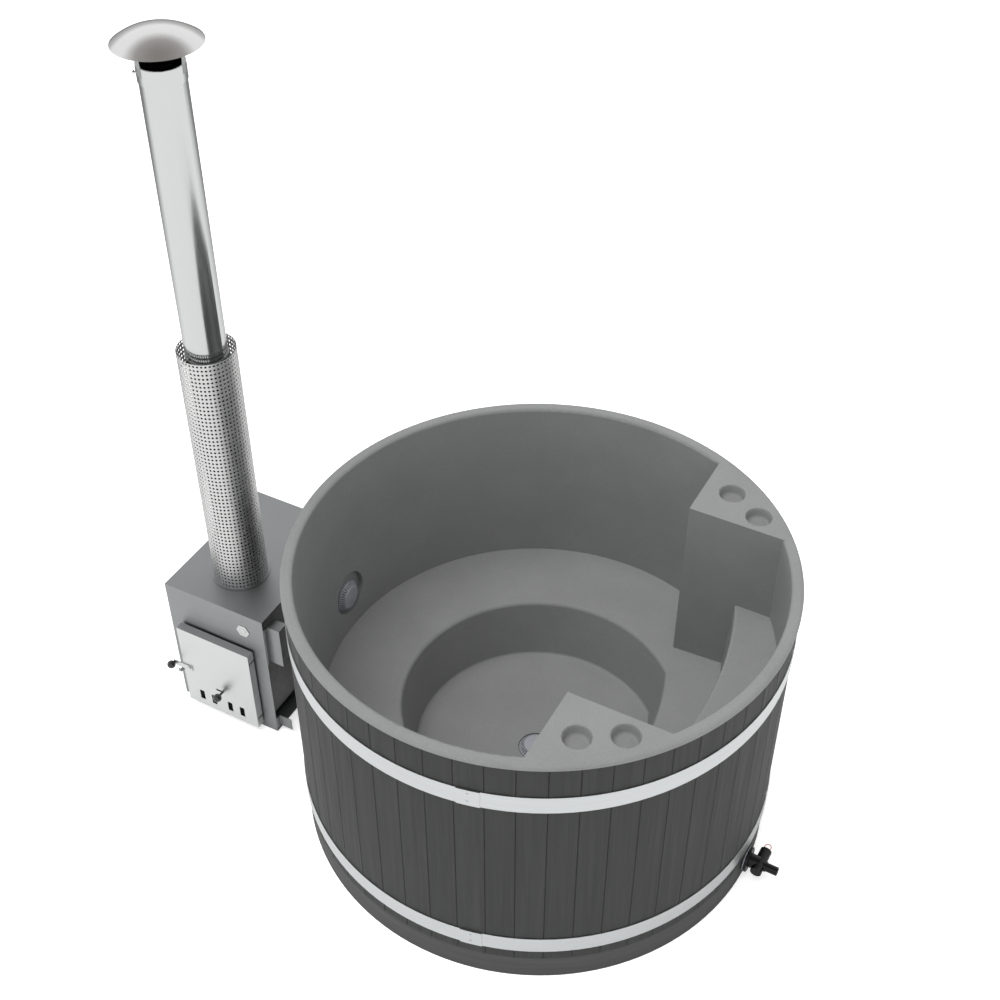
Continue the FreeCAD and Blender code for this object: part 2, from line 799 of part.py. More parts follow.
def stave_body(place_in_ring, copies=None):
    """Tongued and grooved stave with bevelled outer edges, or a run of them."""
    body = doc.addObject("PartDesign::Body", "Staves")
    body.AllowCompound = True
    sketch = outline(body, "XY_Plane", [
        ("stave_face", "0 - face_half"),
        ("stave_face", "face_half"),
        ("stave_shoulder", "shoulder_half"),
        ("stave_middle + tongue_half", "middle_half"),
        ("stave_middle + tongue_half", "middle_half + tongue_reach"),
        ("stave_middle - tongue_half", "middle_half + tongue_reach"),
        ("stave_middle - tongue_half", "middle_half"),
        ("stave_back", "back_half"),
        ("stave_back", "0 - back_half"),
        ("stave_middle - tongue_half - tongue_play", "0 - middle_half"),
        ("stave_middle - tongue_half - tongue_play", "tongue_reach + tongue_play - middle_half"),
        ("stave_middle + tongue_half + tongue_play", "tongue_reach + tongue_play - middle_half"),
        ("stave_middle + tongue_half + tongue_play", "0 - middle_half"),
        ("stave_shoulder", "0 - shoulder_half")])
    doc.recompute()
    pad = body.newObject("PartDesign::Pad", "Pad")
    pad.Profile = sketch
    bind(pad, Length="lip_underside - seat_play - base_height")
    doc.recompute()
    if copies:
        repeated(body, pad, sketch, copies, "stave_pitch", mode="Spacing")
        doc.recompute()
    return turn(body, "stave_turn + stave_pitch * (%s + 0.5)" % place_in_ring, z="base_height")


def make_staves():
    """The stave that the heater's flow pipe passes through, and the rest in panels from it round."""
    heater_place = int((180 - size("stave_turn")) / size("stave_pitch"))
    hole = rod("pipe_hole", "2 * stave_thickness + 2 * overrun", y="0 - inlet_shift", z="inlet_height",
               x="0 - stave_radius - overrun", along="X")
    node("heater_stave", cut(stave_body(heater_place), hole))
    panels = int(size("stave_panels"))
    for number in range(panels):
        copies = "panel_staves" if number + 1 < panels else "last_staves"
        first = "(%d + %d * panel_staves)" % (heater_place + 1, number)
        node("staves_panel_%d" % (number + 1), stave_body(first, copies))


def hoop(height):
    """Steel band with its lapped end and the two rivets of the lap."""
    lap = tube("hoop_radius + hoop_sheet", "hoop_radius", "hoop_width", z=height)
    sector = doc.addObject("Part::Cylinder", "Sector")
    bind(sector, Radius="hoop_radius + 2 * hoop_sheet", Height="hoop_width", Angle="lap_angle")
    turn(sector, "lap_turn", z=height)
    rivets = []
    for row in (1, 3):
        rivet = rod("rivet_radius", "hoop_sheet + rivet_rise", x="hoop_radius",
                    z="%s + hoop_width * %d / 4" % (height, row), along="X")
        rivets.append(turn(carried(rivet), "lap_turn + rivet_angle"))
    return fuse(tube("hoop_radius", "hoop_bore", "hoop_width", z=height), common(lap, sector), *rivets)


def make_hoops():
    """Two bands and the ring that backs the upper one."""
    node("hoop_upper", hoop("upper_hoop_height"))
    node("hoop_lower", hoop("lower_hoop_height"))
    strip = tube("backing_radius", "backing_bore", "hoop_width", z="upper_hoop_height")
    bay = entry_bay("entry_radius + skin + seat_play", "upper_hoop_height", "upper_hoop_top",
                    "shelf_top_gap + skin + seat_play")
    node("backing_ring", cut(strip, bay))


def crossed(spots, span, z_span, along_x):
    """Timbers on edge, cut to the round inside of the base ring."""
    half = "timber / 2"
    timbers = []
    for spot in spots:
        across = ("(%s) - %s" % (spot, half), "(%s) + %s" % (spot, half))
        along = ("0 - " + span, span)
        timbers.append(box(along, across, z_span) if along_x else box(across, along, z_span))
    disc = rod("frame_radius", "(%s) - (%s)" % (z_span[1], z_span[0]), z=z_span[0])
    return common(fuse(*timbers), disc)


def make_base():
    """Base ring, timber frame under the well and posts under the seat."""
    shell = turned([("base_bore", "0"), ("base_radius", "0"), ("base_radius", "base_height"),
                    ("backing_radius", "base_height"), ("backing_radius", "upstand_height"),
                    ("base_bore", "upstand_height")])
    reach = "base_radius + overrun"
    drain_hole = drain_line(rod("pipe_hole", reach, z="drain_line_height", along="X"))
    return_hole = rod("pipe_hole", reach, "drain_x", "drain_y", "drain_line_height", along="-X")
    node("base_ring", cut(shell, drain_hole, return_hole))
    node("floor_bearers", crossed(["0 - bearer_spacing", "0", "bearer_spacing"], "base_radius",
                                  ("0", "timber"), False))
    node("floor_joists", crossed(["0 - outer_joist_y", "0 - inner_joist_y", "inner_joist_y", "outer_joist_y"],
                                 "base_radius", ("timber", "joist_top"), True))
    posts = []
    for x, y, top in (("inner_post_x", "inner_joist_y", "inner_post_top"),
                      ("outer_post_x", "outer_joist_y", "outer_post_top")):
        for across in (x, "0 - " + x):
            for along in (y, "0 - " + y):
                posts.append(box((across + " - timber / 2", across + " + timber / 2"),
                                 (along + " - timber / 2", along + " + timber / 2"), ("joist_top", top)))
    node("seat_posts", fuse(*posts))


def slotted_cover():
    """Domed cover with a ring of slots in its bevel, face up, foot on Z = 0."""
    body = turned([("cover_radius - cover_sheet", "0"),
                   ("cover_radius", "0"),
                   ("cover_radius", "cover_rim"),
                   ("cover_face_radius", "cover_rise"),
                   ("0", "cover_top"),
                   ("0", "cover_top - cover_sheet"),
                   ("cover_face_radius - cover_sheet", "cover_rise - cover_sheet"),
                   ("cover_radius - cover_sheet", "cover_rim - cover_sheet")])
    low, high = "0 - slot_width / 2", "slot_width / 2"
    slot = outline(body, "XY_Plane", [("slot_start", low), ("slot_end", low), ("slot_end", high),
                                      ("slot_start", high)])
    doc.recompute()
    pocket = body.newObject("PartDesign::Pocket", "Slot")
    pocket.Profile = slot
    pocket.Reversed = True
    bind(pocket, Length="cover_top + overrun")
    doc.recompute()
    repeated(body, pocket, slot, "cover_slots", "360")
    doc.recompute()
    return body


def drain_line(item):
    """Set a piece that was made along +X from the drain's axis into its real direction."""
    return turn(carried(item), "drain_line_angle", x="drain_x", y="drain_y")


def make_drain():
    """Floor drain: cover, sump with two sockets, its nut, and the pipe to the valve."""
    node("drain_cover", place(slotted_cover(), x="drain_x", y="drain_y", z="drain_seat"))
    level = "drain_line_height"
    x, y = "drain_x", "drain_y"
    solid = fuse(rod("sump_radius", "drain_seat - sump_foot", x, y, "sump_foot"),
                 rod("flange_radius", "flange_sheet", x, y, "drain_seat"),
                 drain_line(rod("socket_radius", "socket_end", z=level, along="X")),
                 rod("socket_radius", "socket_end", x, y, level, along="-X"))
    bore = fuse(rod("sump_radius - sump_wall", "drain_seat", x, y, "sump_foot + sump_wall"),
                drain_line(rod("pipe_hole", "socket_end + overrun", z=level, along="X")),
                rod("pipe_hole", "socket_end + overrun", x, y, level, along="-X"))
    node("drain_sump", cut(solid, bore))
    nut_foot = "drain_seat - skin - nut_depth"
    node("drain_nut", cut(prism(8, "nut_radius + sump_wall", "nut_depth", x, y, nut_foot),
                          rod("sump_radius + pipe_play", "nut_depth", x, y, nut_foot)))
    node("drain_pipe", drain_line(tube("pipe_radius", "pipe_bore", "valve_neck_face - sump_radius",
                                       x="sump_radius", z=level, along="X")))


def make_valve():
    """Slide valve on the end of the drain pipe: a plunger across the flow, pulled by a wire loop."""
    level = "drain_line_height"
    gasket = tube("gasket_radius", "pipe_hole", "gasket_sheet", x="valve_face", z=level, along="X")
    node("valve_gasket", drain_line(gasket))
    nut = cut(prism(12, "valve_nut_radius", "valve_nut_depth", x="valve_nut_face", z=level, along="X"),
              rod("pipe_hole", "valve_nut_depth", x="valve_nut_face", z=level, along="X"))
    node("valve_nut", drain_line(nut))
    solid = fuse(rod("valve_neck_radius", "barrel_axis - valve_neck_face", x="valve_neck_face", z=level,
                     along="X"),
                 rod("barrel_radius", "barrel_back + barrel_front", x="barrel_axis", y="0 - barrel_back",
                     z=level, along="Y"),
                 rod("shoulder_radius", "shoulder_end - barrel_offset", x="barrel_axis", z=level, along="X"),
                 rod("spigot_radius", "spigot_end - barrel_offset", x="barrel_axis", z=level, along="X"))
    bore = fuse(rod("barrel_bore", "barrel_back - barrel_floor + barrel_front", x="barrel_axis",
                    y="barrel_floor - barrel_back", z=level, along="Y"),
                rod("spigot_bore", "spigot_end + overrun", x="valve_neck_face", z=level, along="X"))
    node("valve_body", drain_line(cut(solid, bore)))
    gland = tube("barrel_bore - piston_play", "stem_radius + running_play", "gland_depth", x="barrel_axis",
                 y="barrel_front - gland_depth", z=level, along="Y")
    node("valve_gland", drain_line(gland))
    plunger = fuse(rod("barrel_bore - piston_play", "2 * piston_half", x="barrel_axis", y="0 - piston_half",
                       z=level, along="Y"),
                   rod("stem_radius", "barrel_front + 2 * stem_radius - piston_half", x="barrel_axis",
                       y="piston_half", z=level, along="Y"))
    eye = rod("loop_wire + loop_play", "4 * stem_radius", x="barrel_axis", y="barrel_front + stem_radius",
              z=level + " - 2 * stem_radius")
    node("valve_plunger", drain_line(cut(plunger, eye)))
    node("pull_loop", drain_line(ring("loop_radius", "loop_wire", x="barrel_axis",
                                      y="barrel_front + stem_radius + loop_radius", z=level, along="X")))


def make_inlet():
    """Wall inlet: cover, flanged tail through the liner, and the nut behind the wall."""
    side, level = "0 - inlet_shift", "inlet_height"
    start = "flange_sheet - recess_floor"
    tail = fuse(rod("flange_radius", "flange_sheet", start, side, level, along="-X"),
                rod("pipe_radius", "stave_radius + hose_end + (%s)" % start, start, side, level, along="-X"))
    node("inlet_tail", cut(tail, rod("pipe_bore", "stave_radius", x="0", y=side, z=level, along="-X")))
    node("inlet_cover", place(slotted_cover(), x="0 - recess_floor", y=side, z=level, along="X"))
    seat = ("0 - recess_back", side, level)
    nut = prism(6, "nut_radius", "nut_depth", *seat, along="-X")
    node("inlet_nut", cut(nut, rod("pipe_hole", "nut_depth", *seat, along="-X")))


def hose_shape(start, end, radius, bore):
    """Hose from start to end along -X, dropping in two equal arcs between its straight ends."""
    straight = size("hose_end")
    first = start + FreeCAD.Vector(-straight, 0, 0)
    last = end + FreeCAD.Vector(straight, 0, 0)
    run, drop = first.x - last.x, first.z - last.z
    bend = (run * run + drop * drop) / (4 * drop)
    half = math.atan2(drop, run)
    middle = (first + last) / 2

    def arc_point(centre, angle):
        return centre + FreeCAD.Vector(math.cos(angle), 0, math.sin(angle)) * bend
    upper = first + FreeCAD.Vector(0, 0, -bend)
    lower = last + FreeCAD.Vector(0, 0, bend)
    spine = Part.Wire([Part.LineSegment(start, first).toShape(),
                       Part.Arc(first, arc_point(upper, math.pi / 2 + half), middle).toShape(),
                       Part.Arc(middle, arc_point(lower, half - math.pi / 2), last).toShape(),
                       Part.LineSegment(last, end).toShape()])
    walls = []
    for section_radius in (radius, bore):
        circle = Part.Circle(start, FreeCAD.Vector(1, 0, 0), section_radius)
        walls.append(spine.makePipeShell([Part.Wire([circle.toShape()])], True, False))
    return walls[0].cut(walls[1])


def make_heater_pipes():
    """Flow and return between the heater's two ports and the tub."""
    side, level = "0 - inlet_shift", "drain_line_height"
    node("return_pipe", tube("pipe_radius", "pipe_bore", "stave_radius + hose_end - sump_radius + drain_x",
                             x="drain_x - sump_radius", y="drain_y", z=level, along="-X"))
    start = FreeCAD.Vector(size("hose_start"), -size("inlet_shift"), size("inlet_height"))
    end = FreeCAD.Vector(size("jacket_right") + 2 * size("seat_play"), start.y, size("upper_port_height"))
    hose = doc.addObject("Part::Feature", "FlowHose")
    hose.Shape = hose_shape(start, end, size("hose_radius"), size("hose_bore"))
    node("flow_hose", hose)
    node("return_hose", tube("hose_radius", "hose_bore", "hose_start - jacket_right - 2 * seat_play",
                             x="hose_start", y="drain_y", z=level, along="-X"))
    clamps = []
    near, far = "hose_start - hose_end / 4", "jacket_right + hose_end / 2 + clamp_width"
    for x, y, z in ((near, side, "inlet_height"), (far, side, "upper_port_height"),
                    (near, "drain_y", level), (far, "drain_y", level)):
        band = tube("hose_radius + clamp_sheet", "hose_radius", "clamp_width", x=x, y=y, z=z, along="-X")
        screw = rod("clamp_screw_radius", "clamp_screw_length", x="%s - clamp_width / 2" % x,
                    y="%s - clamp_screw_length / 2" % y,
                    z="%s + hose_radius + clamp_sheet / 2 + clamp_screw_radius" % z, along="Y")
        clamps.append(fuse(band, screw))
    node("hose_clamps", fuse(*clamps))


def make_heater_casing():
    """Sheet casing, open towards the tub, with its door opening and flue hole."""
    outer = box(("casing_left", "casing_right"), ("casing_front", "casing_back"), ("0", "casing_height"))
    inner = box(("casing_left + casing_sheet", "casing_right + overrun"),
                ("casing_lining", "casing_back - casing_sheet"),
                ("casing_sheet", "casing_height - casing_sheet"))
    mouth = box(("mouth_left - frame_sheet - seat_play", "mouth_right + frame_sheet + seat_play"),
                ("casing_front - overrun", "casing_lining + casing_sheet"),
                ("mouth_foot - frame_sheet - seat_play", "mouth_top + frame_sheet + seat_play"))
    flue_hole = rod("flue_radius + flue_play", "3 * casing_sheet", x="flue_x", y="flue_y",
                    z="casing_height - 2 * casing_sheet")
    node("heater_casing", cut(outer, inner, mouth, flue_hole))


def make_jacket():
    """Water jacket round the firebox, on four legs, with its mouth frame, grate and two pipe stubs."""
    shell = box(("jacket_left", "jacket_right"), ("jacket_front", "jacket_back"),
                ("jacket_foot", "jacket_top"))
    fire = box(("fire_left", "fire_right"), ("jacket_front + jacket_wall", "fire_back"),
               ("fire_foot", "jacket_top - jacket_wall"))
    mouth = box(("mouth_left", "mouth_right"), ("jacket_front - overrun", "fire_back"),
                ("mouth_foot", "mouth_top"))
    flue = rod("collar_radius - collar_sheet", "jacket_wall + 2 * overrun", x="flue_x", y="flue_y",
               z="jacket_top - jacket_wall - overrun")
    stubs, bores = [], []
    for y, z in (("0 - inlet_shift", "upper_port_height"), ("drain_y", "drain_line_height")):
        stubs.append(rod("pipe_radius", "hose_end", x="jacket_right", y=y, z=z, along="X"))
        bores.append(rod("pipe_bore", "hose_end + overrun", "jacket_right - overrun / 2", y, z, along="X"))
    node("water_jacket", cut(fuse(shell, *stubs), fire, mouth, flue, *bores))
    legs = []
    for x in ("jacket_left", "jacket_right - leg_side"):
        for y in ("jacket_front", "jacket_back - leg_side"):
            legs.append(box((x, x + " + leg_side"), (y, y + " + leg_side"), ("casing_sheet", "jacket_foot")))
    node("jacket_legs", fuse(*legs))
    frame = box(("mouth_left - frame_sheet", "mouth_right + frame_sheet"),
                ("casing_front - frame_proud", "jacket_front"),
                ("mouth_foot - frame_sheet", "mouth_top + frame_sheet"))
    opening = box(("mouth_left", "mouth_right"), ("casing_front - overrun", "jacket_front + overrun"),
                  ("mouth_foot", "mouth_top"))
    node("mouth_frame", cut(frame, opening))


def make_grate():
    """Cast grate with long slots and two feet, on the firebox floor."""
    x_span = ("fire_left + grate_play", "fire_right - grate_play")
    y_span = ("jacket_front + jacket_wall + grate_play", "fire_back - grate_play")
    plate = box(x_span, y_span, ("grate_height - grate_sheet", "grate_height"))
    feet = [box(x_span, (y, y + " + grate_foot"), ("fire_foot", "grate_height - grate_sheet"))
            for y in (y_span[0], "fire_back - grate_play - grate_foot")]
    pitch = "(fire_right - fire_left - 2 * grate_play) / (grate_bars + 1)"
    gaps = []
    for number in range(int(size("grate_bars"))):
        centre = "fire_left + grate_play + %s * %d" % (pitch, number + 1)
        gaps.append(box((centre + " - grate_gap / 2", centre + " + grate_gap / 2"),
                        ("jacket_front + jacket_wall + grate_play + grate_foot",
                         "fire_back - grate_play - grate_foot"),
                        ("grate_height - grate_sheet - overrun", "grate_height + overrun")))
    node("fire_grate", cut(fuse(plate, *feet), *gaps))


def vents(y_span):
    """The row of four air holes through the door's face."""
    holes = []
    for spot in ("0 - vent_outer", "0 - vent_inner", "vent_inner", "vent_outer"):
        centre = "door_middle + (%s)" % spot
        holes.append(box((centre + " - vent_width / 2", centre + " + vent_width / 2"), y_span,
                         ("vent_centre_height - vent_height / 2", "vent_centre_height + vent_height / 2")))
    return holes


def make_door():
    """Fire door: hemmed tray with air holes and hinge notches, its tabs and the baffle inside."""
    tray = box(("door_left", "door_right"), ("door_face", "door_back"), ("door_foot", "door_top"))
    hollow = box(("door_left + door_sheet", "door_right - door_sheet"),
                 ("door_inside", "door_back + overrun"),
                 ("door_foot + door_sheet", "door_top - door_sheet"))
    face = ("door_face - overrun", "door_inside + seat_play")
    knob_slot = box(("knob_x - slide_travel - knob_stem - seat_play", "knob_x + knob_stem + seat_play"), face,
                    ("knob_height - knob_stem - seat_play", "knob_height + knob_stem + seat_play"))
    pin_hole = rod("latch_pin", "door_sheet + 2 * overrun", x="latch_x", y="door_face - overrun",
                   z="latch_height", along="Y")
    notches = [box(("door_right - 2 * door_sheet", "door_right + overrun"),
                   ("door_inside", "door_back + overrun"),
                   (level + " - hinge_clear", level + " + hinge_sheet"))
               for level in ("lower_hinge", "upper_hinge")]
    node("door_tray", cut(tray, hollow, knob_slot, pin_hole, *notches, *vents(face)))
    tabs = []
    for level in ("lower_hinge", "upper_hinge"):
        foot = level + " + hinge_sheet + seat_play"
        tab = box(("hinge_x - hinge_half", "door_right - door_sheet"),
                  ("hinge_y - hinge_half", "hinge_y + hinge_half"), (foot, foot + " + hinge_sheet"))
        tabs.append(cut(tab, rod("hinge_pin + running_play", "hinge_sheet + 2 * overrun", x="hinge_x",
                                 y="hinge_y", z=foot + " - overrun")))
    node("door_tabs", fuse(*tabs))
    baffle = box(("mouth_left - baffle_margin", "hinge_x - hinge_half - baffle_margin"),
                 ("door_back - baffle_sheet", "door_back"),
                 ("slide_top + guide_lip + baffle_margin", "mouth_top + baffle_margin"))
    studs = [rod("latch_pin_head", "door_back - baffle_sheet - door_inside", x, "door_inside", z, along="Y")
             for x in ("mouth_left + 2 * baffle_margin", "hinge_x - hinge_half - 4 * baffle_margin")
             for z in ("slide_top + guide_lip + 4 * baffle_margin", "mouth_top - 2 * baffle_margin")]
    node("door_baffle", fuse(baffle, *studs))


def make_air_slide():
    """Air slide behind the door's face, in two guides, moved by its ball knob."""
    plate = box(("door_middle - slide_half", "door_middle + slide_half"), ("slide_face", "slide_back"),
                ("slide_foot", "slide_top"))
    node("air_slide", cut(plate, *vents(("slide_face - overrun", "slide_back + overrun"))))
    stem = rod("knob_stem", "slide_face - door_face + knob_reach", "knob_x", "slide_face", "knob_height",
               along="-Y")
    node("slide_knob", fuse(stem, ball("knob_radius", "knob_x", "door_face - knob_reach", "knob_height")))
    x_span = ("door_left + door_sheet + guide_sheet", "door_middle + slide_half + 3 * guide_sheet")
    guides = []
    for edge, lip in (("slide_foot - slide_play - guide_sheet", "slide_foot + guide_lip / 3"),
                      ("slide_top - guide_lip / 3", "slide_top + slide_play + guide_sheet")):
        bar = box(x_span, ("door_inside", "slide_back + slide_play + guide_sheet"), (edge, lip))
        groove = box(x_span, ("door_inside - overrun", "slide_back + slide_play"),
                     ("slide_foot - slide_play", "slide_top + slide_play"))
        guides.append(cut(bar, groove))
    node("slide_guides", fuse(*guides))


def make_latch():
    """Latch lever on its pivot, with a ball knob, and the keeper on the casing."""
    lever = box(("latch_x - latch_reach", "latch_x + latch_tail"), ("latch_face", "latch_face + latch_sheet"),
                ("latch_height - latch_depth / 2", "latch_height + latch_depth / 2"))
    node("latch_lever", cut(lever, rod("latch_pin + running_play", "latch_sheet + 2 * overrun", x="latch_x",
                                       y="latch_face - overrun", z="latch_height", along="Y")))
    node("latch_knob", fuse(rod("knob_stem", "latch_knob_reach", x="latch_x - latch_reach + knob_stem",
                                y="latch_face", z="latch_height", along="-Y"),
                            ball("knob_radius", "latch_x - latch_reach", "latch_face - knob_radius",
                                 "latch_height")))
    start = ("latch_x", "latch_face - seat_play", "latch_height")
    pin = fuse(rod("latch_pin", "latch_sheet + 3 * seat_play + 2 * door_sheet", *start, along="Y"),
               rod("latch_pin_head", "door_sheet", *start, along="-Y"))
    node("latch_pin", pin)
    right = "keeper_left + keeper_width"
    arm_face = "latch_face - keeper_gap"
    keeper = fuse(box(("keeper_left", right), ("casing_front - keeper_sheet", "casing_front"),
                      ("keeper_height - 2 * keeper_width", "keeper_height")),
                  box(("keeper_left", right), (arm_face, "casing_front"),
                      ("keeper_height - keeper_sheet", "keeper_height")),
                  box(("keeper_left", right), (arm_face, arm_face + " + keeper_sheet"),
                      ("keeper_height - keeper_sheet", "keeper_height + keeper_lip")))
    node("latch_keeper", keeper)


def make_hinges():
    """Brackets on the casing with the pins that the door's tabs turn on."""
    brackets, pins = [], []
    for level in ("lower_hinge", "upper_hinge"):
        arm = box(("hinge_x - hinge_half", "hinge_x + hinge_half"), ("hinge_y - hinge_half", "casing_front"),
                  (level, level + " + hinge_sheet"))
        brackets.append(cut(arm, rod("hinge_pin", "hinge_sheet + 2 * overrun", x="hinge_x", y="hinge_y",
                                     z=level + " - overrun")))
        pins.append(rod("hinge_pin", "3 * hinge_sheet + seat_play", x="hinge_x", y="hinge_y",
                        z=level + " - hinge_sheet / 2"))
    node("hinge_brackets", fuse(*brackets))
    node("hinge_pins", fuse(*pins))


def side_bracket(foot, top):
    """Bent bracket inside the casing's front edge, reaching out towards the tub."""
    sheet_face = "casing_lining + bracket_setback"
    body = padded("XY_Plane", [
        ("casing_right - bracket_hold", "casing_lining"),
        ("casing_right + casing_sheet", "casing_lining"),
        ("casing_right + casing_sheet", sheet_face),
        ("casing_right + bracket_reach", sheet_face),
        ("casing_right + bracket_reach", sheet_face + " + casing_sheet"),
        ("casing_right", sheet_face + " + casing_sheet"),
        ("casing_right", "casing_lining + casing_sheet"),
        ("casing_right - bracket_hold", "casing_lining + casing_sheet")], "(%s) - (%s)" % (top, foot))
    return place(body, z=foot)


def make_brackets():
    """Two bent brackets on the open side."""
    shelf = box(("casing_right", "casing_right + bracket_reach"),
                ("casing_lining + bracket_setback", "casing_lining + bracket_setback + upper_bracket_shelf"),
                ("upper_bracket_top", "upper_bracket_top + casing_sheet"))
    node("upper_bracket", fuse(side_bracket("upper_bracket_foot", "upper_bracket_top"), shelf))
    node("lower_bracket", side_bracket("lower_bracket_foot", "lower_bracket_top"))


def flue_ring(radius, bore, height, z):
    """Ring about the chimney's axis."""
    return tube(radius, bore, height, x="flue_x", y="flue_y", z=z)


def spacer(height):
    """Ring round the chimney with arms that centre the heat guard."""
    hub = flue_ring("flue_radius + spacer_sheet", "flue_radius + seat_play", "spacer_height", height)
    arms = []
    for number in range(int(size("spacer_arms"))):
        arm = box(("flue_radius + spacer_sheet / 2", "guard_radius"),
                  ("0 - spacer_width / 2", "spacer_width / 2"), (height, height + " + spacer_sheet"))
        arms.append(turn(carried(arm), "360 / spacer_arms * %d" % number, x="flue_x", y="flue_y"))
    inside = rod("guard_radius - guard_sheet - seat_play", "spacer_height", x="flue_x", y="flue_y", z=height)
    return common(fuse(hub, *arms), inside)


def make_chimney():
    """Flue collar, pipe, perforated heat guard with its spacers, and the rain cap."""
    node("flue_collar", flue_ring("collar_radius", "collar_radius - collar_sheet", "collar_top - jacket_top",
                                  "jacket_top"))
    node("flue_flange", flue_ring("flange_ring_radius", "collar_radius + seat_play", "casing_sheet",
                                  "casing_height"))
    node("chimney_pipe", flue_ring("flue_radius", "flue_bore", "flue_length", "flue_foot"))
    node("heat_guard", flue_ring("guard_radius", "guard_radius - guard_sheet", "guard_length", "flue_foot"))
    node("guard_spacers", fuse(spacer("spacer_foot"), spacer("guard_top - spacer_drop - spacer_height")))


def make_cap():
    """Domed rain cap on three spread straps that grow out of a sleeve round the pipe."""
    dome = doc.addObject("Part::Sphere", "Dome")
    bind(dome, Radius="dome_radius", Angle1="dome_angle")
    place(dome, "flue_x", "flue_y", "dome_centre")
    node("rain_cap", cut(dome, ball("dome_radius - cap_sheet", "flue_x", "flue_y", "dome_centre")))
    sleeve = flue_ring("sleeve_radius", "sleeve_bore", "sleeve_depth", "flue_top - sleeve_depth")
    straps = []
    for number in range(int(size("strap_count"))):
        body = doc.addObject("PartDesign::Body", "Strap")
        sketch = outline(body, "XZ_Plane", [
            ("sleeve_bore", "flue_top - sleeve_depth / 2"),
            ("sleeve_radius", "flue_top - sleeve_depth / 2"),
            ("sleeve_radius", "flue_top"),
            ("strap_top_radius", "strap_top"),
            ("strap_top_radius - sleeve_sheet", "strap_top"),
            ("sleeve_bore", "flue_top")])
        doc.recompute()
        pad = body.newObject("PartDesign::Pad", "Pad")
        pad.Profile = sketch
        pad.Midplane = True
        bind(pad, Length="strap_width")
        doc.recompute()
        straps.append(turn(body, "strap_turn + 360 / strap_count * %d" % number, x="flue_x", y="flue_y"))
    bored = cut(fuse(*straps), rod("sleeve_bore", "flue_top", x="flue_x", y="flue_y"))
    node("cap_straps", fuse(sleeve, bored))
    level = "flue_top - sleeve_depth / 2"
    bolt = fuse(rod("cap_bolt_radius / 2", "cap_bolt_length", x="sleeve_radius", z=level, along="X"),
                prism(6, "cap_bolt_radius", "cap_bolt_length / 2", x="sleeve_radius + cap_bolt_length / 4",
                      z=level, along="X"))
    node("cap_bolt", turn(bolt, "cap_bolt_turn", x="flue_x", y="flue_y"))


def build():
    """Make every piece, check the document and write one file per node."""
    fill_sheet()
    make_liner()
    make_staves()
    make_hoops()
    make_base()
    make_drain()
    make_valve()
    make_inlet()
    make_heater_pipes()
    make_heater_casing()
    make_jacket()
    make_grate()
    make_door()
    make_air_slide()
    make_latch()
    make_hinges()
    make_brackets()
    make_chimney()
    make_cap()
    doc.recompute()
    broken = [item for item in doc.Objects if "Invalid" in item.State or "Error" in item.State]
    if broken:
        raise RuntimeError("\n".join("%s (%s): %s" % (item.Label, item.Name, item.getStatusString())
                                     for item in broken))
    os.makedirs("parts", exist_ok=True)
    for name, item in nodes.items():
        shape = item.Shape
        if shape.isNull() or not shape.isValid() or not shape.Solids:
            raise RuntimeError("%s has no valid solid" % name)
        print("%-18s %2d solids %10.1f cm3" % (name, len(shape.Solids), shape.Volume / 1000))
    for name, item in nodes.items():
        item.Shape.exportStep(os.path.join("parts", name + ".step"))


build()
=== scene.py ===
"""Visual model of a round wood-fired hot tub.

The tub is a moulded liner clad in stained staves. Beside it stands its steel water heater with the chimney.
Every length is in metres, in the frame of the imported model: Z is up along the tub's axis, the entry step is
on +X and the heater on -X.
"""

import json
import logging
import math
from dataclasses import dataclass, field
from enum import Enum
from typing import Callable, Iterable

import bmesh
import bpy
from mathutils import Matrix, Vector

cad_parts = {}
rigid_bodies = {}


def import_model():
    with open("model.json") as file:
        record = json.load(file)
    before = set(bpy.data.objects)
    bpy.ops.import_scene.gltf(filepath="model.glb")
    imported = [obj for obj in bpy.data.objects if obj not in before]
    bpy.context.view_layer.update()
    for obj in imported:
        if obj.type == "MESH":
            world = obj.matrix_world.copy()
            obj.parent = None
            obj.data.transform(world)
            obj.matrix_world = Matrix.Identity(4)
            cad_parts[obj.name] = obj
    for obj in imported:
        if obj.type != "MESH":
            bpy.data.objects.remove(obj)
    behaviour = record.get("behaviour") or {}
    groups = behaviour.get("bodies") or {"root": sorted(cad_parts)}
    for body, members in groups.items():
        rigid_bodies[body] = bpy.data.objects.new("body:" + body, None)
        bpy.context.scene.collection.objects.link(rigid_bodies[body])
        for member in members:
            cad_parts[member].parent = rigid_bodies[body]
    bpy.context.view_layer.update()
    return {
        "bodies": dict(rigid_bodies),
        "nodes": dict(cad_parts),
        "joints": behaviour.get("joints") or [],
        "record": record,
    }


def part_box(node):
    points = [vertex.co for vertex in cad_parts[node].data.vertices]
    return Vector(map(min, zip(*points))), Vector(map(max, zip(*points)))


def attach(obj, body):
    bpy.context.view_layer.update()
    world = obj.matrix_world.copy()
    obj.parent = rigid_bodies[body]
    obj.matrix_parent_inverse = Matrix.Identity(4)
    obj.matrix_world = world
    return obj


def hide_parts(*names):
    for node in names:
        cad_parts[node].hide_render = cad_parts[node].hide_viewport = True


Colour = tuple[float, float, float, float]
Span = tuple[float, float]
Bands = tuple[tuple[float, float, float], ...]
Socket = bpy.types.NodeSocket

MM = 0.001
RISING: Span = (0.0, 1.0)
FALLING: Span = (1.0, 0.0)
# Most values of a noise lie in this span.
NOISE_SPAN: Span = (0.3, 0.7)
log = logging.getLogger("hot_tub")


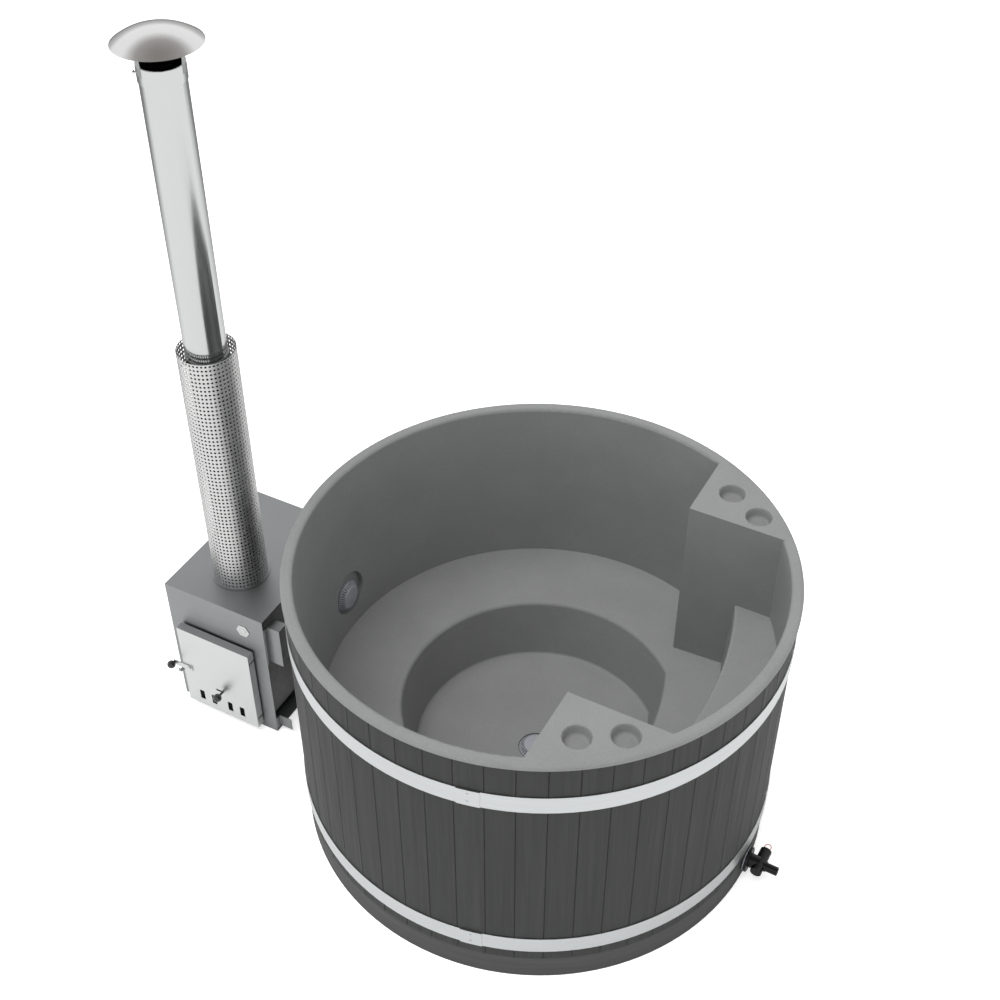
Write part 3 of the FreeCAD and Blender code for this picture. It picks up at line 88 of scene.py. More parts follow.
class Run(Enum):
    """Direction that a grain or a brushed streak follows."""

    UPRIGHT = "upright"
    ROUND = "round"
    LEVEL = "level"


def grey(value: float, warmth: float = 0.0) -> Colour:
    """Linear grey, with red raised and blue lowered by the warmth."""
    return (value * (1.0 + warmth), value, value * (1.0 - warmth), 1.0)


def shade(colour: Colour, factor: float) -> Colour:
    """The colour made lighter or darker by a factor."""
    return (colour[0] * factor, colour[1] * factor, colour[2] * factor, 1.0)


def around(value: float, less: float, more: float) -> Span:
    """Span from somewhat less than a value to somewhat more."""
    return (value - less, value + more)


class Graph:
    """A node tree that is being wired, for a material, a group or the world."""

    def __init__(self, tree: bpy.types.NodeTree) -> None:
        """Start from the given tree."""
        self.tree = tree

    def node(self, kind: str, inputs: dict | None = None, **settings: object) -> bpy.types.Node:
        """Add a node.

        Args:
            kind: The node's type name, without the ShaderNode in front.
            inputs: Values or output sockets by input name or number.
            settings: Properties of the node itself.

        Returns:
            The new node.
        """
        made = self.tree.nodes.new("ShaderNode" + kind)
        for name, value in settings.items():
            setattr(made, name, value)
        self.feed(made, inputs or {})
        return made

    def feed(self, node: bpy.types.Node, inputs: dict) -> None:
        """Set the inputs of a node, or link them where the value is a socket.

        Args:
            node: The node.
            inputs: Values or output sockets by input name or number.
        """
        for name, value in inputs.items():
            if isinstance(value, Socket):
                self.tree.links.new(value, node.inputs[name])
            else:
                node.inputs[name].default_value = value

    def math(self, operation: str, first: object, second: object = 0.0) -> Socket:
        """Arithmetic on two values or sockets."""
        return self.node("Math", {0: first, 1: second}, operation=operation).outputs[0]

    def split(self, vector: Socket) -> tuple[Socket, Socket, Socket]:
        """The X, Y and Z of a vector."""
        parts = self.node("SeparateXYZ", {"Vector": vector}).outputs
        return parts["X"], parts["Y"], parts["Z"]

    def join(self, x: object, y: object, z: object) -> Socket:
        """Vector of three values or sockets."""
        return self.node("CombineXYZ", {"X": x, "Y": y, "Z": z}).outputs["Vector"]

    def stretch(self, parts: Iterable[object], factors: Iterable[object]) -> Socket:
        """Vector of three parts, each multiplied by its own factor."""
        return self.join(*(self.math("MULTIPLY", part, factor) for part, factor in zip(parts, factors)))

    def noise(self, vector: Socket, scale: object, detail: float, rough: float) -> Socket:
        """Fractal noise, from 0 to 1."""
        inputs = {"Vector": vector, "Scale": scale, "Detail": detail, "Roughness": rough}
        return self.node("TexNoise", inputs).outputs["Fac"]

    def remap(self, value: object, span: Span, result: Span) -> Socket:
        """Stretch a span of values to another one, clamped at its ends."""
        ends = {"From Min": span[0], "From Max": span[1], "To Min": result[0], "To Max": result[1]}
        return self.node("MapRange", {"Value": value, **ends}).outputs["Result"]

    def mix(self, share: object, first: object, second: object) -> Socket:
        """Blend of two colours."""
        inputs = {"Factor": share, "A": first, "B": second}
        return self.node("Mix", inputs, data_type="RGBA").outputs["Result"]

    def toned(self, mask: object, colour: Colour, tones: Span) -> Socket:
        """A colour that goes from one tone of it to another by a mask."""
        return self.mix(mask, shade(colour, tones[0]), shade(colour, tones[1]))


@dataclass(frozen=True)
class NodeGroup:
    """Shader node group that is wired once and placed in each material that needs it."""

    title: str = ""

    def begin(self, inputs: dict[str, float],
              outputs: Iterable[str]) -> tuple[Graph, bpy.types.Node, bpy.types.Node]:
        """Make the empty group with its named sockets.

        Args:
            inputs: Default by name of the number inputs, which follow the Vector input.
            outputs: Names of the outputs: Vector is a vector and the others are numbers.

        Returns:
            The graph to wire, its input node and its output node.
        """
        tree = bpy.data.node_groups.new(self.title, "ShaderNodeTree")
        tree.interface.new_socket("Vector", in_out="INPUT", socket_type="NodeSocketVector")
        for name, default in inputs.items():
            made = tree.interface.new_socket(name, in_out="INPUT", socket_type="NodeSocketFloat")
            made.default_value = default
        for name in outputs:
            kind = "NodeSocketVector" if name == "Vector" else "NodeSocketFloat"
            tree.interface.new_socket(name, in_out="OUTPUT", socket_type=kind)
        return Graph(tree), tree.nodes.new("NodeGroupInput"), tree.nodes.new("NodeGroupOutput")

    def wire(self) -> bpy.types.NodeTree:
        """Build the group, which each kind does in its own way."""
        raise NotImplementedError

    def place(self, graph: Graph, inputs: dict[str, object]) -> bpy.types.Node:
        """Put the group into a material, and wire it first if it is new.

        Args:
            graph: The material's graph.
            inputs: Values or output sockets by input name.

        Returns:
            The group's node there.
        """
        made = graph.tree.nodes.new("ShaderNodeGroup")
        made.node_tree = bpy.data.node_groups.get(self.title) or self.wire()
        graph.feed(made, inputs)
        return made


@dataclass(frozen=True)
class WrappedCoordinates(NodeGroup):
    """Turns a place into the angle round an upright axis, the distance from it and the height."""

    title: str = "Wrapped Coordinates"

    def wire(self) -> bpy.types.NodeTree:
        """Build the group.

        Returns:
            The group's tree.
        """
        graph, start, end = self.begin({"Axis X": 0.0, "Axis Y": 0.0}, ["Vector"])
        x, y, z = graph.split(start.outputs["Vector"])
        x = graph.math("SUBTRACT", x, start.outputs["Axis X"])
        y = graph.math("SUBTRACT", y, start.outputs["Axis Y"])
        squares = graph.math("ADD", graph.math("MULTIPLY", x, x), graph.math("MULTIPLY", y, y))
        radius, angle = graph.math("SQRT", squares), graph.math("ARCTAN2", y, x)
        graph.feed(end, {"Vector": graph.join(angle, radius, z)})
        return graph.tree


@dataclass(frozen=True)
class BrushedStreaks(NodeGroup):
    """Brushed sheet: streaks that are long along X and fine along Z, and slow clouds over them."""

    title: str = "Brushed Streaks"
    length: float = 3.0
    fineness: float = 900.0
    cloud: float = 6.0

    def wire(self) -> bpy.types.NodeTree:
        """Build the group.

        Returns:
            The group's tree.
        """
        inputs = {"Length": self.length, "Fineness": self.fineness, "Cloud": self.cloud}
        graph, start, end = self.begin(inputs, ["Streak", "Cloud"])
        where, long, fine, cloud = (start.outputs[name] for name in ("Vector", *inputs))
        stretched = graph.stretch(graph.split(where), (long, long, fine))
        graph.feed(end, {"Streak": graph.noise(stretched, scale=1.0, detail=4.0, rough=0.6),
                         "Cloud": graph.noise(where, scale=cloud, detail=3.0, rough=0.5)})
        return graph.tree


@dataclass(frozen=True)
class MouldedSpeckle(NodeGroup):
    """Moulded plastic: fine pale flecks, fine dark flecks, a slow drift and a pebbled height."""

    title: str = "Moulded Speckle"
    fleck_scale: float = 260.0
    fleck_edge: Span = (0.25, 0.45)
    pale_above: float = 0.86
    dark_below: float = 0.12
    pebble_scale: float = 420.0

    def wire(self) -> bpy.types.NodeTree:
        """Build the group.

        Returns:
            The group's tree.
        """
        inputs = {"Fleck Scale": self.fleck_scale, "Pebble Scale": self.pebble_scale}
        graph, start, end = self.begin(inputs, ["Pale", "Dark", "Drift", "Height"])
        where, fleck, pebble = (start.outputs[name] for name in ("Vector", *inputs))
        cells = graph.node("TexVoronoi", {"Vector": where, "Scale": fleck}).outputs
        lot = graph.node("SeparateColor", {"Color": cells["Color"]}).outputs["Red"]
        near = graph.remap(cells["Distance"], self.fleck_edge, FALLING)
        pale = graph.math("GREATER_THAN", lot, self.pale_above)
        dark = graph.math("LESS_THAN", lot, self.dark_below)
        graph.feed(end, {"Pale": graph.math("MULTIPLY", near, pale),
                         "Dark": graph.math("MULTIPLY", near, dark),
                         "Drift": graph.noise(where, scale=5.0, detail=3.0, rough=0.55),
                         "Height": graph.noise(where, scale=pebble, detail=2.0, rough=0.5)})
        return graph.tree


@dataclass(frozen=True)
class BoardGrain(NodeGroup):
    """Sawn boards: grain that runs along Z, pores, and one tone per board."""

    title: str = "Board Grain"
    width_scale: float = 90.0
    length_scale: float = 2.2
    board_shift: float = 40.0
    warp: float = 6.0
    pore_width: float = 900.0
    pore_length: float = 9.0

    def wire(self) -> bpy.types.NodeTree:
        """Build the group.

        Returns:
            The group's tree.
        """
        inputs = {"Board": 0.0, "Width Scale": self.width_scale, "Length Scale": self.length_scale}
        graph, start, end = self.begin(inputs, ["Tone", "Grain", "Pore"])
        where, number, wide, long = (start.outputs[name] for name in ("Vector", *inputs))
        board = graph.node("TexWhiteNoise", {"W": number}, noise_dimensions="1D").outputs["Value"]
        x, y, z = graph.split(where)
        shift = graph.math("MULTIPLY", board, self.board_shift)
        along = graph.math("ADD", graph.math("MULTIPLY", z, long), shift)
        stretched = graph.join(graph.math("MULTIPLY", x, wide), graph.math("MULTIPLY", y, wide), along)
        wave = graph.noise(stretched, scale=0.35, detail=2.0, rough=0.5)
        aside = graph.join(graph.math("MULTIPLY", wave, self.warp), 0.0, 0.0)
        bent = graph.node("VectorMath", {0: stretched, 1: aside}, operation="ADD").outputs["Vector"]
        fine = graph.stretch((x, y, along), (self.pore_width, self.pore_width, self.pore_length))
        graph.feed(end, {"Tone": board,
                         "Grain": graph.noise(bent, scale=0.9, detail=5.0, rough=0.62),
                         "Pore": graph.noise(fine, scale=1.0, detail=3.0, rough=0.6)})
        return graph.tree


class Surface(Graph):
    """A material that is being wired round its shader."""

    def __init__(self, name: str) -> None:
        """Start a material with a shader, an output and the object coordinates.

        Args:
            name: The material's name.
        """
        self.material = bpy.data.materials.new(name)
        self.material.use_nodes = True
        self.material.node_tree.nodes.clear()
        super().__init__(self.material.node_tree)
        self.shader = self.node("BsdfPrincipled")
        self.node("OutputMaterial", {"Surface": self.shader.outputs["BSDF"]})
        self.where = self.node("TexCoord").outputs["Object"]

    def wrapped(self, axis: tuple[float, float] = (0.0, 0.0)) -> Socket:
        """Angle, distance and height round an upright axis, as one vector."""
        inputs = {"Vector": self.where, "Axis X": axis[0], "Axis Y": axis[1]}
        return WrappedCoordinates().place(self, inputs).outputs["Vector"]

    def emboss(self, height: Socket, strength: float, depth: float) -> None:
        """Raise the surface by a height from 0 to 1, which stands for the depth."""
        bump = self.node("Bump", {"Height": height, "Strength": strength, "Distance": depth})
        self.feed(self.shader, {"Normal": bump.outputs["Normal"]})


@dataclass(frozen=True)
class Finish:
    """Name and colour of a finish."""

    name: str
    colour: Colour

    def dress(self, surface: Surface) -> None:
        """Wire the finish, which each kind does in its own way."""
        raise NotImplementedError

    def material(self) -> bpy.types.Material:
        """Build the finish.

        Returns:
            The material.
        """
        surface = Surface(self.name)
        self.dress(surface)
        return surface.material


@dataclass(frozen=True)
class MouldedPlastic(Finish):
    """Rotationally moulded polyethylene with fine flecks and a pebbled skin."""

    drift_tones: Span = (0.955, 1.045)
    fleck: float = 0.22
    pale_tone: float = 1.9
    dark_tone: float = 0.45
    roughness: float = 0.62
    specular: float = 0.3
    pebble: float = 0.12
    pebble_height: float = 0.4 * MM

    def dress(self, surface: Surface) -> None:
        """Wire the finish.

        Args:
            surface: The empty material.
        """
        speckle = MouldedSpeckle().place(surface, {"Vector": surface.where}).outputs
        drift = surface.remap(speckle["Drift"], NOISE_SPAN, RISING)
        body = surface.toned(drift, self.colour, self.drift_tones)
        for kind, tone in (("Pale", self.pale_tone), ("Dark", self.dark_tone)):
            share = surface.math("MULTIPLY", speckle[kind], self.fleck)
            body = surface.mix(share, body, shade(self.colour, tone))
        rough = surface.remap(speckle["Height"], RISING, around(self.roughness, less=0.06, more=0.08))
        surface.feed(surface.shader, {"Base Color": body, "Roughness": rough,
                                      "Specular IOR Level": self.specular})
        surface.emboss(speckle["Height"], self.pebble, self.pebble_height)


@dataclass(frozen=True)
class StainedWood(Finish):
    """Sawn boards under a translucent stain, one tone per board."""

    board_angle: float = 0.0
    board_start: float = 0.0
    tone_spread: float = 0.03
    grain_span: Span = (0.35, 0.7)
    grain_depth: float = 0.06
    grain_tone: float = 0.35
    pore_span: Span = (0.62, 0.85)
    pore_share: float = 0.07
    pore_tone: float = 1.9
    pore_rise: float = 0.4
    rough_span: Span = (0.3, 0.75)
    roughness: float = 0.66
    specular: float = 0.3
    relief: float = 0.25
    relief_height: float = 0.5 * MM
    run: Run = Run.UPRIGHT

    def board(self, surface: Surface) -> object:
        """Number of the board round the tub, or 0 where the boards aren't told apart.

        Args:
            surface: The material.

        Returns:
            The number, or its socket.
        """
        if not self.board_angle:
            return 0.0
        angle = surface.split(surface.wrapped())[0]
        turned = surface.math("SUBTRACT", angle, self.board_start)
        return surface.math("FLOOR", surface.math("DIVIDE", turned, self.board_angle))

    def along(self, surface: Surface) -> Socket:
        """Place, turned so that the grain runs along Z.

        Args:
            surface: The material.

        Returns:
            The turned place.
        """
        if self.run is Run.UPRIGHT:
            return surface.where
        if self.run is Run.LEVEL:
            x, y, z = surface.split(surface.where)
            return surface.join(z, y, x)
        angle, radius, height = surface.split(surface.wrapped())
        return surface.join(height, radius, angle)

    def dress(self, surface: Surface) -> None:
        """Wire the finish.

        Args:
            surface: The empty material.
        """
        inputs = {"Vector": self.along(surface), "Board": self.board(surface)}
        grain = BoardGrain().place(surface, inputs).outputs
        body = surface.toned(grain["Tone"], self.colour, around(1.0, self.tone_spread, self.tone_spread))
        depth = surface.remap(grain["Grain"], self.grain_span, (0.0, self.grain_depth))
        body = surface.mix(depth, body, shade(self.colour, self.grain_tone))
        pores = surface.remap(grain["Pore"], self.pore_span, (0.0, self.pore_share))
        body = surface.mix(pores, body, shade(self.colour, self.pore_tone))
        rough = surface.remap(grain["Grain"], self.rough_span, around(self.roughness, less=0.08, more=0.1))
        surface.feed(surface.shader, {"Base Color": body, "Roughness": rough,
                                      "Specular IOR Level": self.specular})
        pore_height = surface.math("MULTIPLY", grain["Pore"], self.pore_rise)
        height = surface.math("ADD", pore_height, grain["Grain"])
        surface.emboss(height, self.relief, self.relief_height)


@dataclass(frozen=True)
class SheetSteel(Finish):
    """Bright or satin sheet with brushed or rolled streaks, and painted shade, partly with soot, where it is
    told.
    """

    roughness: float = 0.3
    spread: float = 0.08
    streak: float = 0.08
    streak_span: Span = (0.25, 0.75)
    cloud_spread: float = 0.03
    relief: float = 0.04
    relief_height: float = 0.1 * MM
    run: Run = Run.UPRIGHT
    axis: tuple[float, float] = (0.0, 0.0)
    metallic: float = 1.0
    # Painted shade: the pipe darkens below this height, where the guard round it shades it.
    painted_shade_top: float = 0.0
    painted_shade_full: float = 25.0 * MM
    painted_shade_end: float = 8.0 * MM
    painted_shade_colour: Colour = (0.075, 0.070, 0.062, 1.0)
    # Painted shade and soot: a near-black box on the casing's front behind the fire door.
    shade_and_soot_box: tuple[Vector, Vector] | None = None
    shade_and_soot_colour: Colour = (0.006, 0.006, 0.006, 1.0)
    shade_and_soot_fade: float = 6.0 * MM

    def along(self, surface: Surface) -> Socket:
        """Place, turned so that the streaks run along X.

        Args:
            surface: The material.

        Returns:
            The turned place.
        """
        if self.run is Run.ROUND:
            return surface.wrapped(self.axis)
        if self.run is Run.LEVEL:
            return surface.where
        x, y, z = surface.split(surface.where)
        return surface.join(z, z, surface.math("ADD", x, y))

    def shade_and_soot_share(self, surface: Surface) -> Socket:
        """Share of painted shade and soot within the box that the fire door covers.

        Args:
            surface: The material.

        Returns:
            The share.
        """
        share: object = 1.0
        for place, low, high in zip(surface.split(surface.where), *self.shade_and_soot_box):
            half = (high - low) / 2
            off = surface.math("ABSOLUTE", surface.math("SUBTRACT", place, (low + high) / 2))
            inside = surface.remap(off, (half - self.shade_and_soot_fade, half), FALLING)
            share = surface.math("MULTIPLY", share, inside)
        return share

    def paint_shade_and_soot(self, surface: Surface, body: Socket) -> Socket:
        """Paint shade on the sheet below a height, and shade and soot within a box, where the finish has
        them.

        Args:
            surface: The material.
            body: Colour of the clean sheet.

        Returns:
            The colour with the painted shade and soot on it.
        """
        # Painted shade on the pipe within the guard, darker towards the bottom.
        if self.painted_shade_top:
            height = surface.split(surface.where)[2]
            edge = (self.painted_shade_top - self.painted_shade_full, self.painted_shade_top - self.painted_shade_end)
            body = surface.mix(surface.remap(height, edge, FALLING), body, self.painted_shade_colour)
        # Painted shade and soot: the sheet turns near black within the box behind the door.
        if self.shade_and_soot_box:
            body = surface.mix(self.shade_and_soot_share(surface), body, self.shade_and_soot_colour)
        return body

    def dress(self, surface: Surface) -> None:
        """Wire the finish.

        Args:
            surface: The empty material.
        """
        streaks = BrushedStreaks().place(surface, {"Vector": self.along(surface)}).outputs
        mask = surface.remap(streaks["Streak"], NOISE_SPAN, RISING)
        body = surface.toned(mask, self.colour, around(1.0, self.streak, self.streak))
        fine = surface.remap(streaks["Streak"], self.streak_span, (0.0, self.spread))
        slow = surface.remap(streaks["Cloud"], NOISE_SPAN,
                             around(self.roughness, self.cloud_spread, self.cloud_spread))
        surface.feed(surface.shader, {"Base Color": self.paint_shade_and_soot(surface, body), "Metallic": self.metallic,
                                      "Roughness": surface.math("ADD", fine, slow)})
        surface.emboss(streaks["Streak"], self.relief, self.relief_height)


@dataclass(frozen=True)
class CastPiece(Finish):
    """Plain moulded, cast, painted or rubber piece with a fine skin."""

    roughness: float = 0.45
    metallic: float = 0.0
    coat: float = 0.0
    specular: float = 0.5
    mottle: float = 0.12
    mottle_scale: float = 45.0
    skin_scale: float = 700.0
    skin_depth: float = 0.12
    skin_height: float = 0.15 * MM

    def dress(self, surface: Surface) -> None:
        """Wire the finish.

        Args:
            surface: The empty material.
        """
        skin = surface.noise(surface.where, scale=self.skin_scale, detail=3.0, rough=0.55)
        cloud = surface.noise(surface.where, scale=self.mottle_scale, detail=3.0, rough=0.5)
        mask = surface.remap(cloud, NOISE_SPAN, RISING)
        body = surface.toned(mask, self.colour, around(1.0, self.mottle, self.mottle))
        rough = surface.remap(cloud, NOISE_SPAN, around(self.roughness, less=0.05, more=0.07))
        surface.feed(surface.shader, {"Base Color": body, "Roughness": rough, "Metallic": self.metallic,
                                      "Specular IOR Level": self.specular, "Coat Weight": self.coat})
        surface.emboss(skin, self.skin_depth, self.skin_height)


@dataclass
class Wardrobe:
    """Finishes by the record's material slot, each built once."""

    flue_axis: tuple[float, float]
    guard_top: float
    door: tuple[Vector, Vector]
    # Box of painted shade and soot behind the fire door.
    shade_and_soot_rim: float = 8.0 * MM
    shade_and_soot_depth: float = 24.0 * MM
    shade_and_soot_drop: float = 12.0 * MM
    stave_pitch: float = math.tau / 56
    stave_start: float = math.radians(2.87)
    worn_instead: dict[str, str] = field(default_factory=lambda: {
        "flue_flange": "casing_steel", "cap_straps": "flue_steel", "air_slide": "slide_black",
        "slide_guides": "slide_black", "door_baffle": "slide_black", "mouth_frame": "slide_black"})
    made: dict[str, bpy.types.Material] = field(default_factory=dict)

    def behind_door(self) -> tuple[Vector, Vector]:
        """Box on the casing's front that the closed fire door covers, where painted shade and soot go.

        Returns:
            The box's lowest and highest corner.
        """
        low, high = self.door
        first = Vector((low.x + self.shade_and_soot_rim, high.y - self.shade_and_soot_depth, low.z - self.shade_and_soot_drop))
        last = Vector((high.x - self.shade_and_soot_rim, high.y + self.shade_and_soot_depth, high.z - self.shade_and_soot_rim))
        return first, last

    def finishes(self) -> dict[str, Finish]:
        """Finish of each slot.

        Returns:
            The finishes by slot.
        """
        axis = self.flue_axis
        return {
            "liner_plastic": MouldedPlastic("Speckled Liner", (0.217, 0.2225, 0.2205, 1.0)),
            "stave_wood": StainedWood("Charcoal Staves", (0.0316, 0.0338, 0.0322, 1.0),
                                      self.stave_pitch, self.stave_start),
            "base_wood": StainedWood("Charcoal Base", (0.058, 0.0600, 0.0585, 1.0), run=Run.ROUND,
                                     tone_spread=0.0),
            "frame_wood": StainedWood("Raw Softwood", (0.52, 0.36, 0.21, 1.0), run=Run.LEVEL,
                                      tone_spread=0.0, grain_depth=0.35),
            "hoop_steel": SheetSteel("Hoop Band", (0.550, 0.568, 0.573, 1.0), 0.30, run=Run.ROUND),
            "cover_plastic": CastPiece("Pale Cover", (0.30, 0.31, 0.345, 1.0), 0.35, mottle=0.04),
            "fitting_plastic": CastPiece("Grey Fitting", grey(0.13), 0.4, mottle=0.05),
            "gasket_rubber": CastPiece("Pale Gasket", (0.36, 0.37, 0.43, 1.0), 0.6),
            "valve_plastic": CastPiece("Black Valve", grey(0.006), 0.24, mottle=0.2, specular=0.25),
            "loop_plastic": CastPiece("Coated Loop", (0.62, 0.16, 0.12, 1.0), 0.4, mottle=0.05),
            "hose_rubber": CastPiece("Black Hose", grey(0.012), 0.55, specular=0.35),
            "clamp_steel": SheetSteel("Bright Clamp", grey(0.60), 0.22),
            # The casing's front behind the fire door gets painted shade and soot.
            "casing_steel": SheetSteel("Satin Casing", (0.287, 0.294, 0.299, 1.0), 0.42, run=Run.LEVEL,
                                       streak=0.05, shade_and_soot_box=self.behind_door()),
            "jacket_steel": CastPiece("Rolled Steel Jacket", grey(0.30), 0.50, metallic=0.6,
                                      skin_depth=0.2),
            "slide_black": CastPiece("Blackened Slide", grey(0.005), 0.8, specular=0.1),
            "grate_iron": CastPiece("Cast Grate", grey(0.035), 0.75, metallic=0.4, skin_scale=300.0,
                                    skin_depth=0.6),
            "door_steel": SheetSteel("Bright Door", (0.60, 0.615, 0.61, 1.0), 0.32, run=Run.LEVEL,
                                     streak=0.03),
            "knob_plastic": CastPiece("Ball Knob", grey(0.012), 0.22, coat=0.3, skin_depth=0.02),
            # Painted shade on the pipe below the guard's top.
            "flue_steel": SheetSteel("Bright Flue", (0.530, 0.548, 0.542, 1.0), 0.13, run=Run.ROUND,
                                     axis=axis, streak=0.03, painted_shade_top=self.guard_top),
            "cap_steel": SheetSteel("Spun Cap", grey(0.56, 0.01), 0.12, spread=0.04, run=Run.ROUND,
                                    axis=axis, streak=0.02),
        }

    def guard(self) -> bpy.types.Material:
        """Finish of the perforated sheet, less bright than the pipe."""
        return SheetSteel("Perforated Sheet", grey(0.60), 0.40, run=Run.ROUND, axis=self.flue_axis,
                          streak=0.03).material()

    def finish(self, slot: str) -> bpy.types.Material:
        """Material of a slot.

        Args:
            slot: The slot's name in the record.

        Returns:
            The material, built at the first call.
        """
        if slot not in self.made:
            self.made[slot] = self.finishes()[slot].material()
        return self.made[slot]

    def dress(self, frame: dict) -> None:
        """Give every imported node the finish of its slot.

        Args:
            frame: The loaded frame.
        """
        slots = {entry["node"]: entry["material_slot"] for entry in frame["record"]["subparts"]}
        for name, node in frame["nodes"].items():
            material = self.finish(self.worn_instead.get(name, slots[name]))
            if not node.material_slots:
                node.data.materials.append(material)
            for slot in node.material_slots:
                slot.material = material
            log.info("%s wears %s", name, material.name)


def mesh_piece(name: str, build: Callable[[bmesh.types.BMesh], None], material: bpy.types.Material,
               smooth: float = 35.0) -> bpy.types.Object:
    """Make an object from mesh code.

    Args:
        name: The piece's name.
        build: Function that fills an empty mesh.
        material: The piece's finish.
        smooth: Angle in degrees up to which faces shade as one.

    Returns:
        The new object.
    """
    mesh = bmesh.new()
    build(mesh)
    bmesh.ops.recalc_face_normals(mesh, faces=mesh.faces)
    data = bpy.data.meshes.new(name)
    mesh.to_mesh(data)
    mesh.free()
    if "custom_normal" in data.attributes:
        data.attributes.remove(data.attributes["custom_normal"])
    data.materials.append(material)
    data.shade_smooth()
    data.set_sharp_from_angle(angle=math.radians(smooth))
    piece = bpy.data.objects.new(name, data)
    bpy.context.scene.collection.objects.link(piece)
    return piece


@dataclass
class Studio:
    """Floor, light and the photograph's camera; a band is a sine of elevation, a brightness and a warmth."""

    eye: Vector = field(default_factory=lambda: Vector((1.4303, -2.9326, 4.1204)))
    aim: Vector = field(default_factory=lambda: Vector((-0.5261, 0.7161, 0.4998)))
    sensor: float = 36.0
    lens: float = 53.3136
    floor_reach: float = 60.0
    floor_gap: float = 0.5 * MM
    floor_glow: float = 0.5
    floor_tones: Span = (0.91, 0.93)
    floor_roughness: float = 0.8
    back_way: tuple[float, float] = (-0.66, 0.75)
    back_span: Span = (1.5, 4.0)
    back_tone: float = 0.20
    sky_strength: float = 1.3
    matt_share: float = 0.80
    matt_sky: Bands = ((-1.0, 0.35, 0.0), (-0.03, 0.35, 0.0), (0.02, 0.92, 0.0), (0.35, 1.00, 0.0),
                       (0.62, 0.95, 0.0), (0.88, 0.34, 0.04), (1.0, 0.28, 0.06))
    gloss_sky: Bands = ((-1.0, 0.35, 0.0), (-0.03, 0.35, 0.0), (0.02, 0.46, 0.0), (0.16, 0.52, 0.0),
                        (0.36, 1.00, -0.01), (0.68, 1.00, -0.01), (0.86, 0.42, 0.02), (1.0, 0.27, 0.05))
    key_from: Vector = field(default_factory=lambda: Vector((-1.1, -1.2, 5.6)))
    key_power: float = 2.3
    key_spread: float = math.radians(42.0)

    def place_camera(self) -> None:
        """Camera at the photograph's viewing angle."""
        data = bpy.data.cameras.new("Camera")
        data.sensor_width = self.sensor
        data.lens = self.lens
        data.clip_end = 2.0 * self.floor_reach
        camera = bpy.data.objects.new("Camera", data)
        camera.location = self.eye
        camera.rotation_mode = "QUATERNION"
        camera.rotation_quaternion = (self.aim - self.eye).to_track_quat("-Z", "Y")
        bpy.context.scene.collection.objects.link(camera)
        bpy.context.scene.camera = camera

    def floor_finish(self) -> bpy.types.Material:
        """Pale floor that glows for the camera, and throws less light on the part from behind it.

        Returns:
            The material.
        """
        surface = Surface("Pale Floor")
        cloud = surface.noise(surface.where, scale=0.8, detail=2.0, rough=0.5)
        tone = surface.remap(cloud, NOISE_SPAN, RISING)
        x, y = surface.split(surface.where)[:2]
        behind = surface.math("ADD", surface.math("MULTIPLY", x, self.back_way[0]),
                              surface.math("MULTIPLY", y, self.back_way[1]))
        seen = surface.node("LightPath").outputs["Is Camera Ray"]
        unseen = surface.math("SUBTRACT", 1.0, seen)
        fade = surface.math("MULTIPLY", unseen, surface.remap(behind, self.back_span, RISING))
        pale = surface.mix(tone, grey(self.floor_tones[0]), grey(self.floor_tones[1]))
        surface.feed(surface.shader, {"Base Color": surface.mix(fade, pale, grey(self.back_tone)),
                                      "Roughness": self.floor_roughness, "Emission Color": grey(1.0),
                                      "Emission Strength": surface.math("MULTIPLY", seen, self.floor_glow)})
        return surface.material

    def lay_floor(self) -> None:
        """Pale floor, wide enough to fill the view."""
        material = self.floor_finish()

        def build(mesh: bmesh.types.BMesh) -> None:
            """One large square.

            Args:
                mesh: The empty mesh.
            """
            reach = self.floor_reach
            corners = [(-reach, -reach), (reach, -reach), (reach, reach), (-reach, reach)]
            mesh.faces.new([mesh.verts.new((x, y, -self.floor_gap)) for x, y in corners])

        mesh_piece("floor", build, material)

    def bands(self, graph: Graph, rise: Socket, sky: Bands) -> Socket:
        """Tone of the surroundings by height.

        Args:
            graph: The world's graph.
            rise: Sine of the elevation that is looked at.
            sky: The bands, from below to above.

        Returns:
            The colour.
        """
        ramp = graph.node("ValToRGB", {"Fac": graph.remap(rise, (-1.0, 1.0), RISING)})
        steps = ramp.color_ramp.elements
        while len(steps) < len(sky):
            steps.new(0.5)
        for step, (sine, value, warmth) in zip(steps, sky):
            step.position = (sine + 1.0) / 2.0
            step.color = grey(value, warmth)
        return ramp.outputs["Color"]

    def surround(self) -> None:
        """Bright surroundings, dim overhead and below, dimmer for matt surfaces and white for the camera."""
        world = bpy.data.worlds.new("Studio")
        world.use_nodes = True
        graph = Graph(world.node_tree)
        rise = graph.split(graph.node("TexCoord").outputs["Generated"])[2]
        path = graph.node("LightPath").outputs
        matt = path["Is Diffuse Ray"]
        strength = graph.remap(matt, RISING, (self.sky_strength, self.sky_strength * self.matt_share))
        round_about = graph.mix(matt, self.bands(graph, rise, self.gloss_sky),
                                self.bands(graph, rise, self.matt_sky))
        colour = graph.mix(path["Is Camera Ray"], round_about, grey(1.0))
        graph.feed(world.node_tree.nodes["Background"], {"Strength": strength, "Color": colour})
        bpy.context.scene.world = world
        bpy.context.scene.view_settings.view_transform = "Standard"

    def hang_lamp(self) -> None:
        """One broad soft lamp that doesn't show in gloss."""
        data = bpy.data.lights.new("key", "SUN")
        data.energy = self.key_power
        data.angle = self.key_spread
        lamp = bpy.data.objects.new("key", data)
        lamp.location = self.key_from
        lamp.rotation_mode = "QUATERNION"
        lamp.rotation_quaternion = (-self.key_from).to_track_quat("-Z", "Y")
        lamp.visible_glossy = False
        bpy.context.scene.collection.objects.link(lamp)


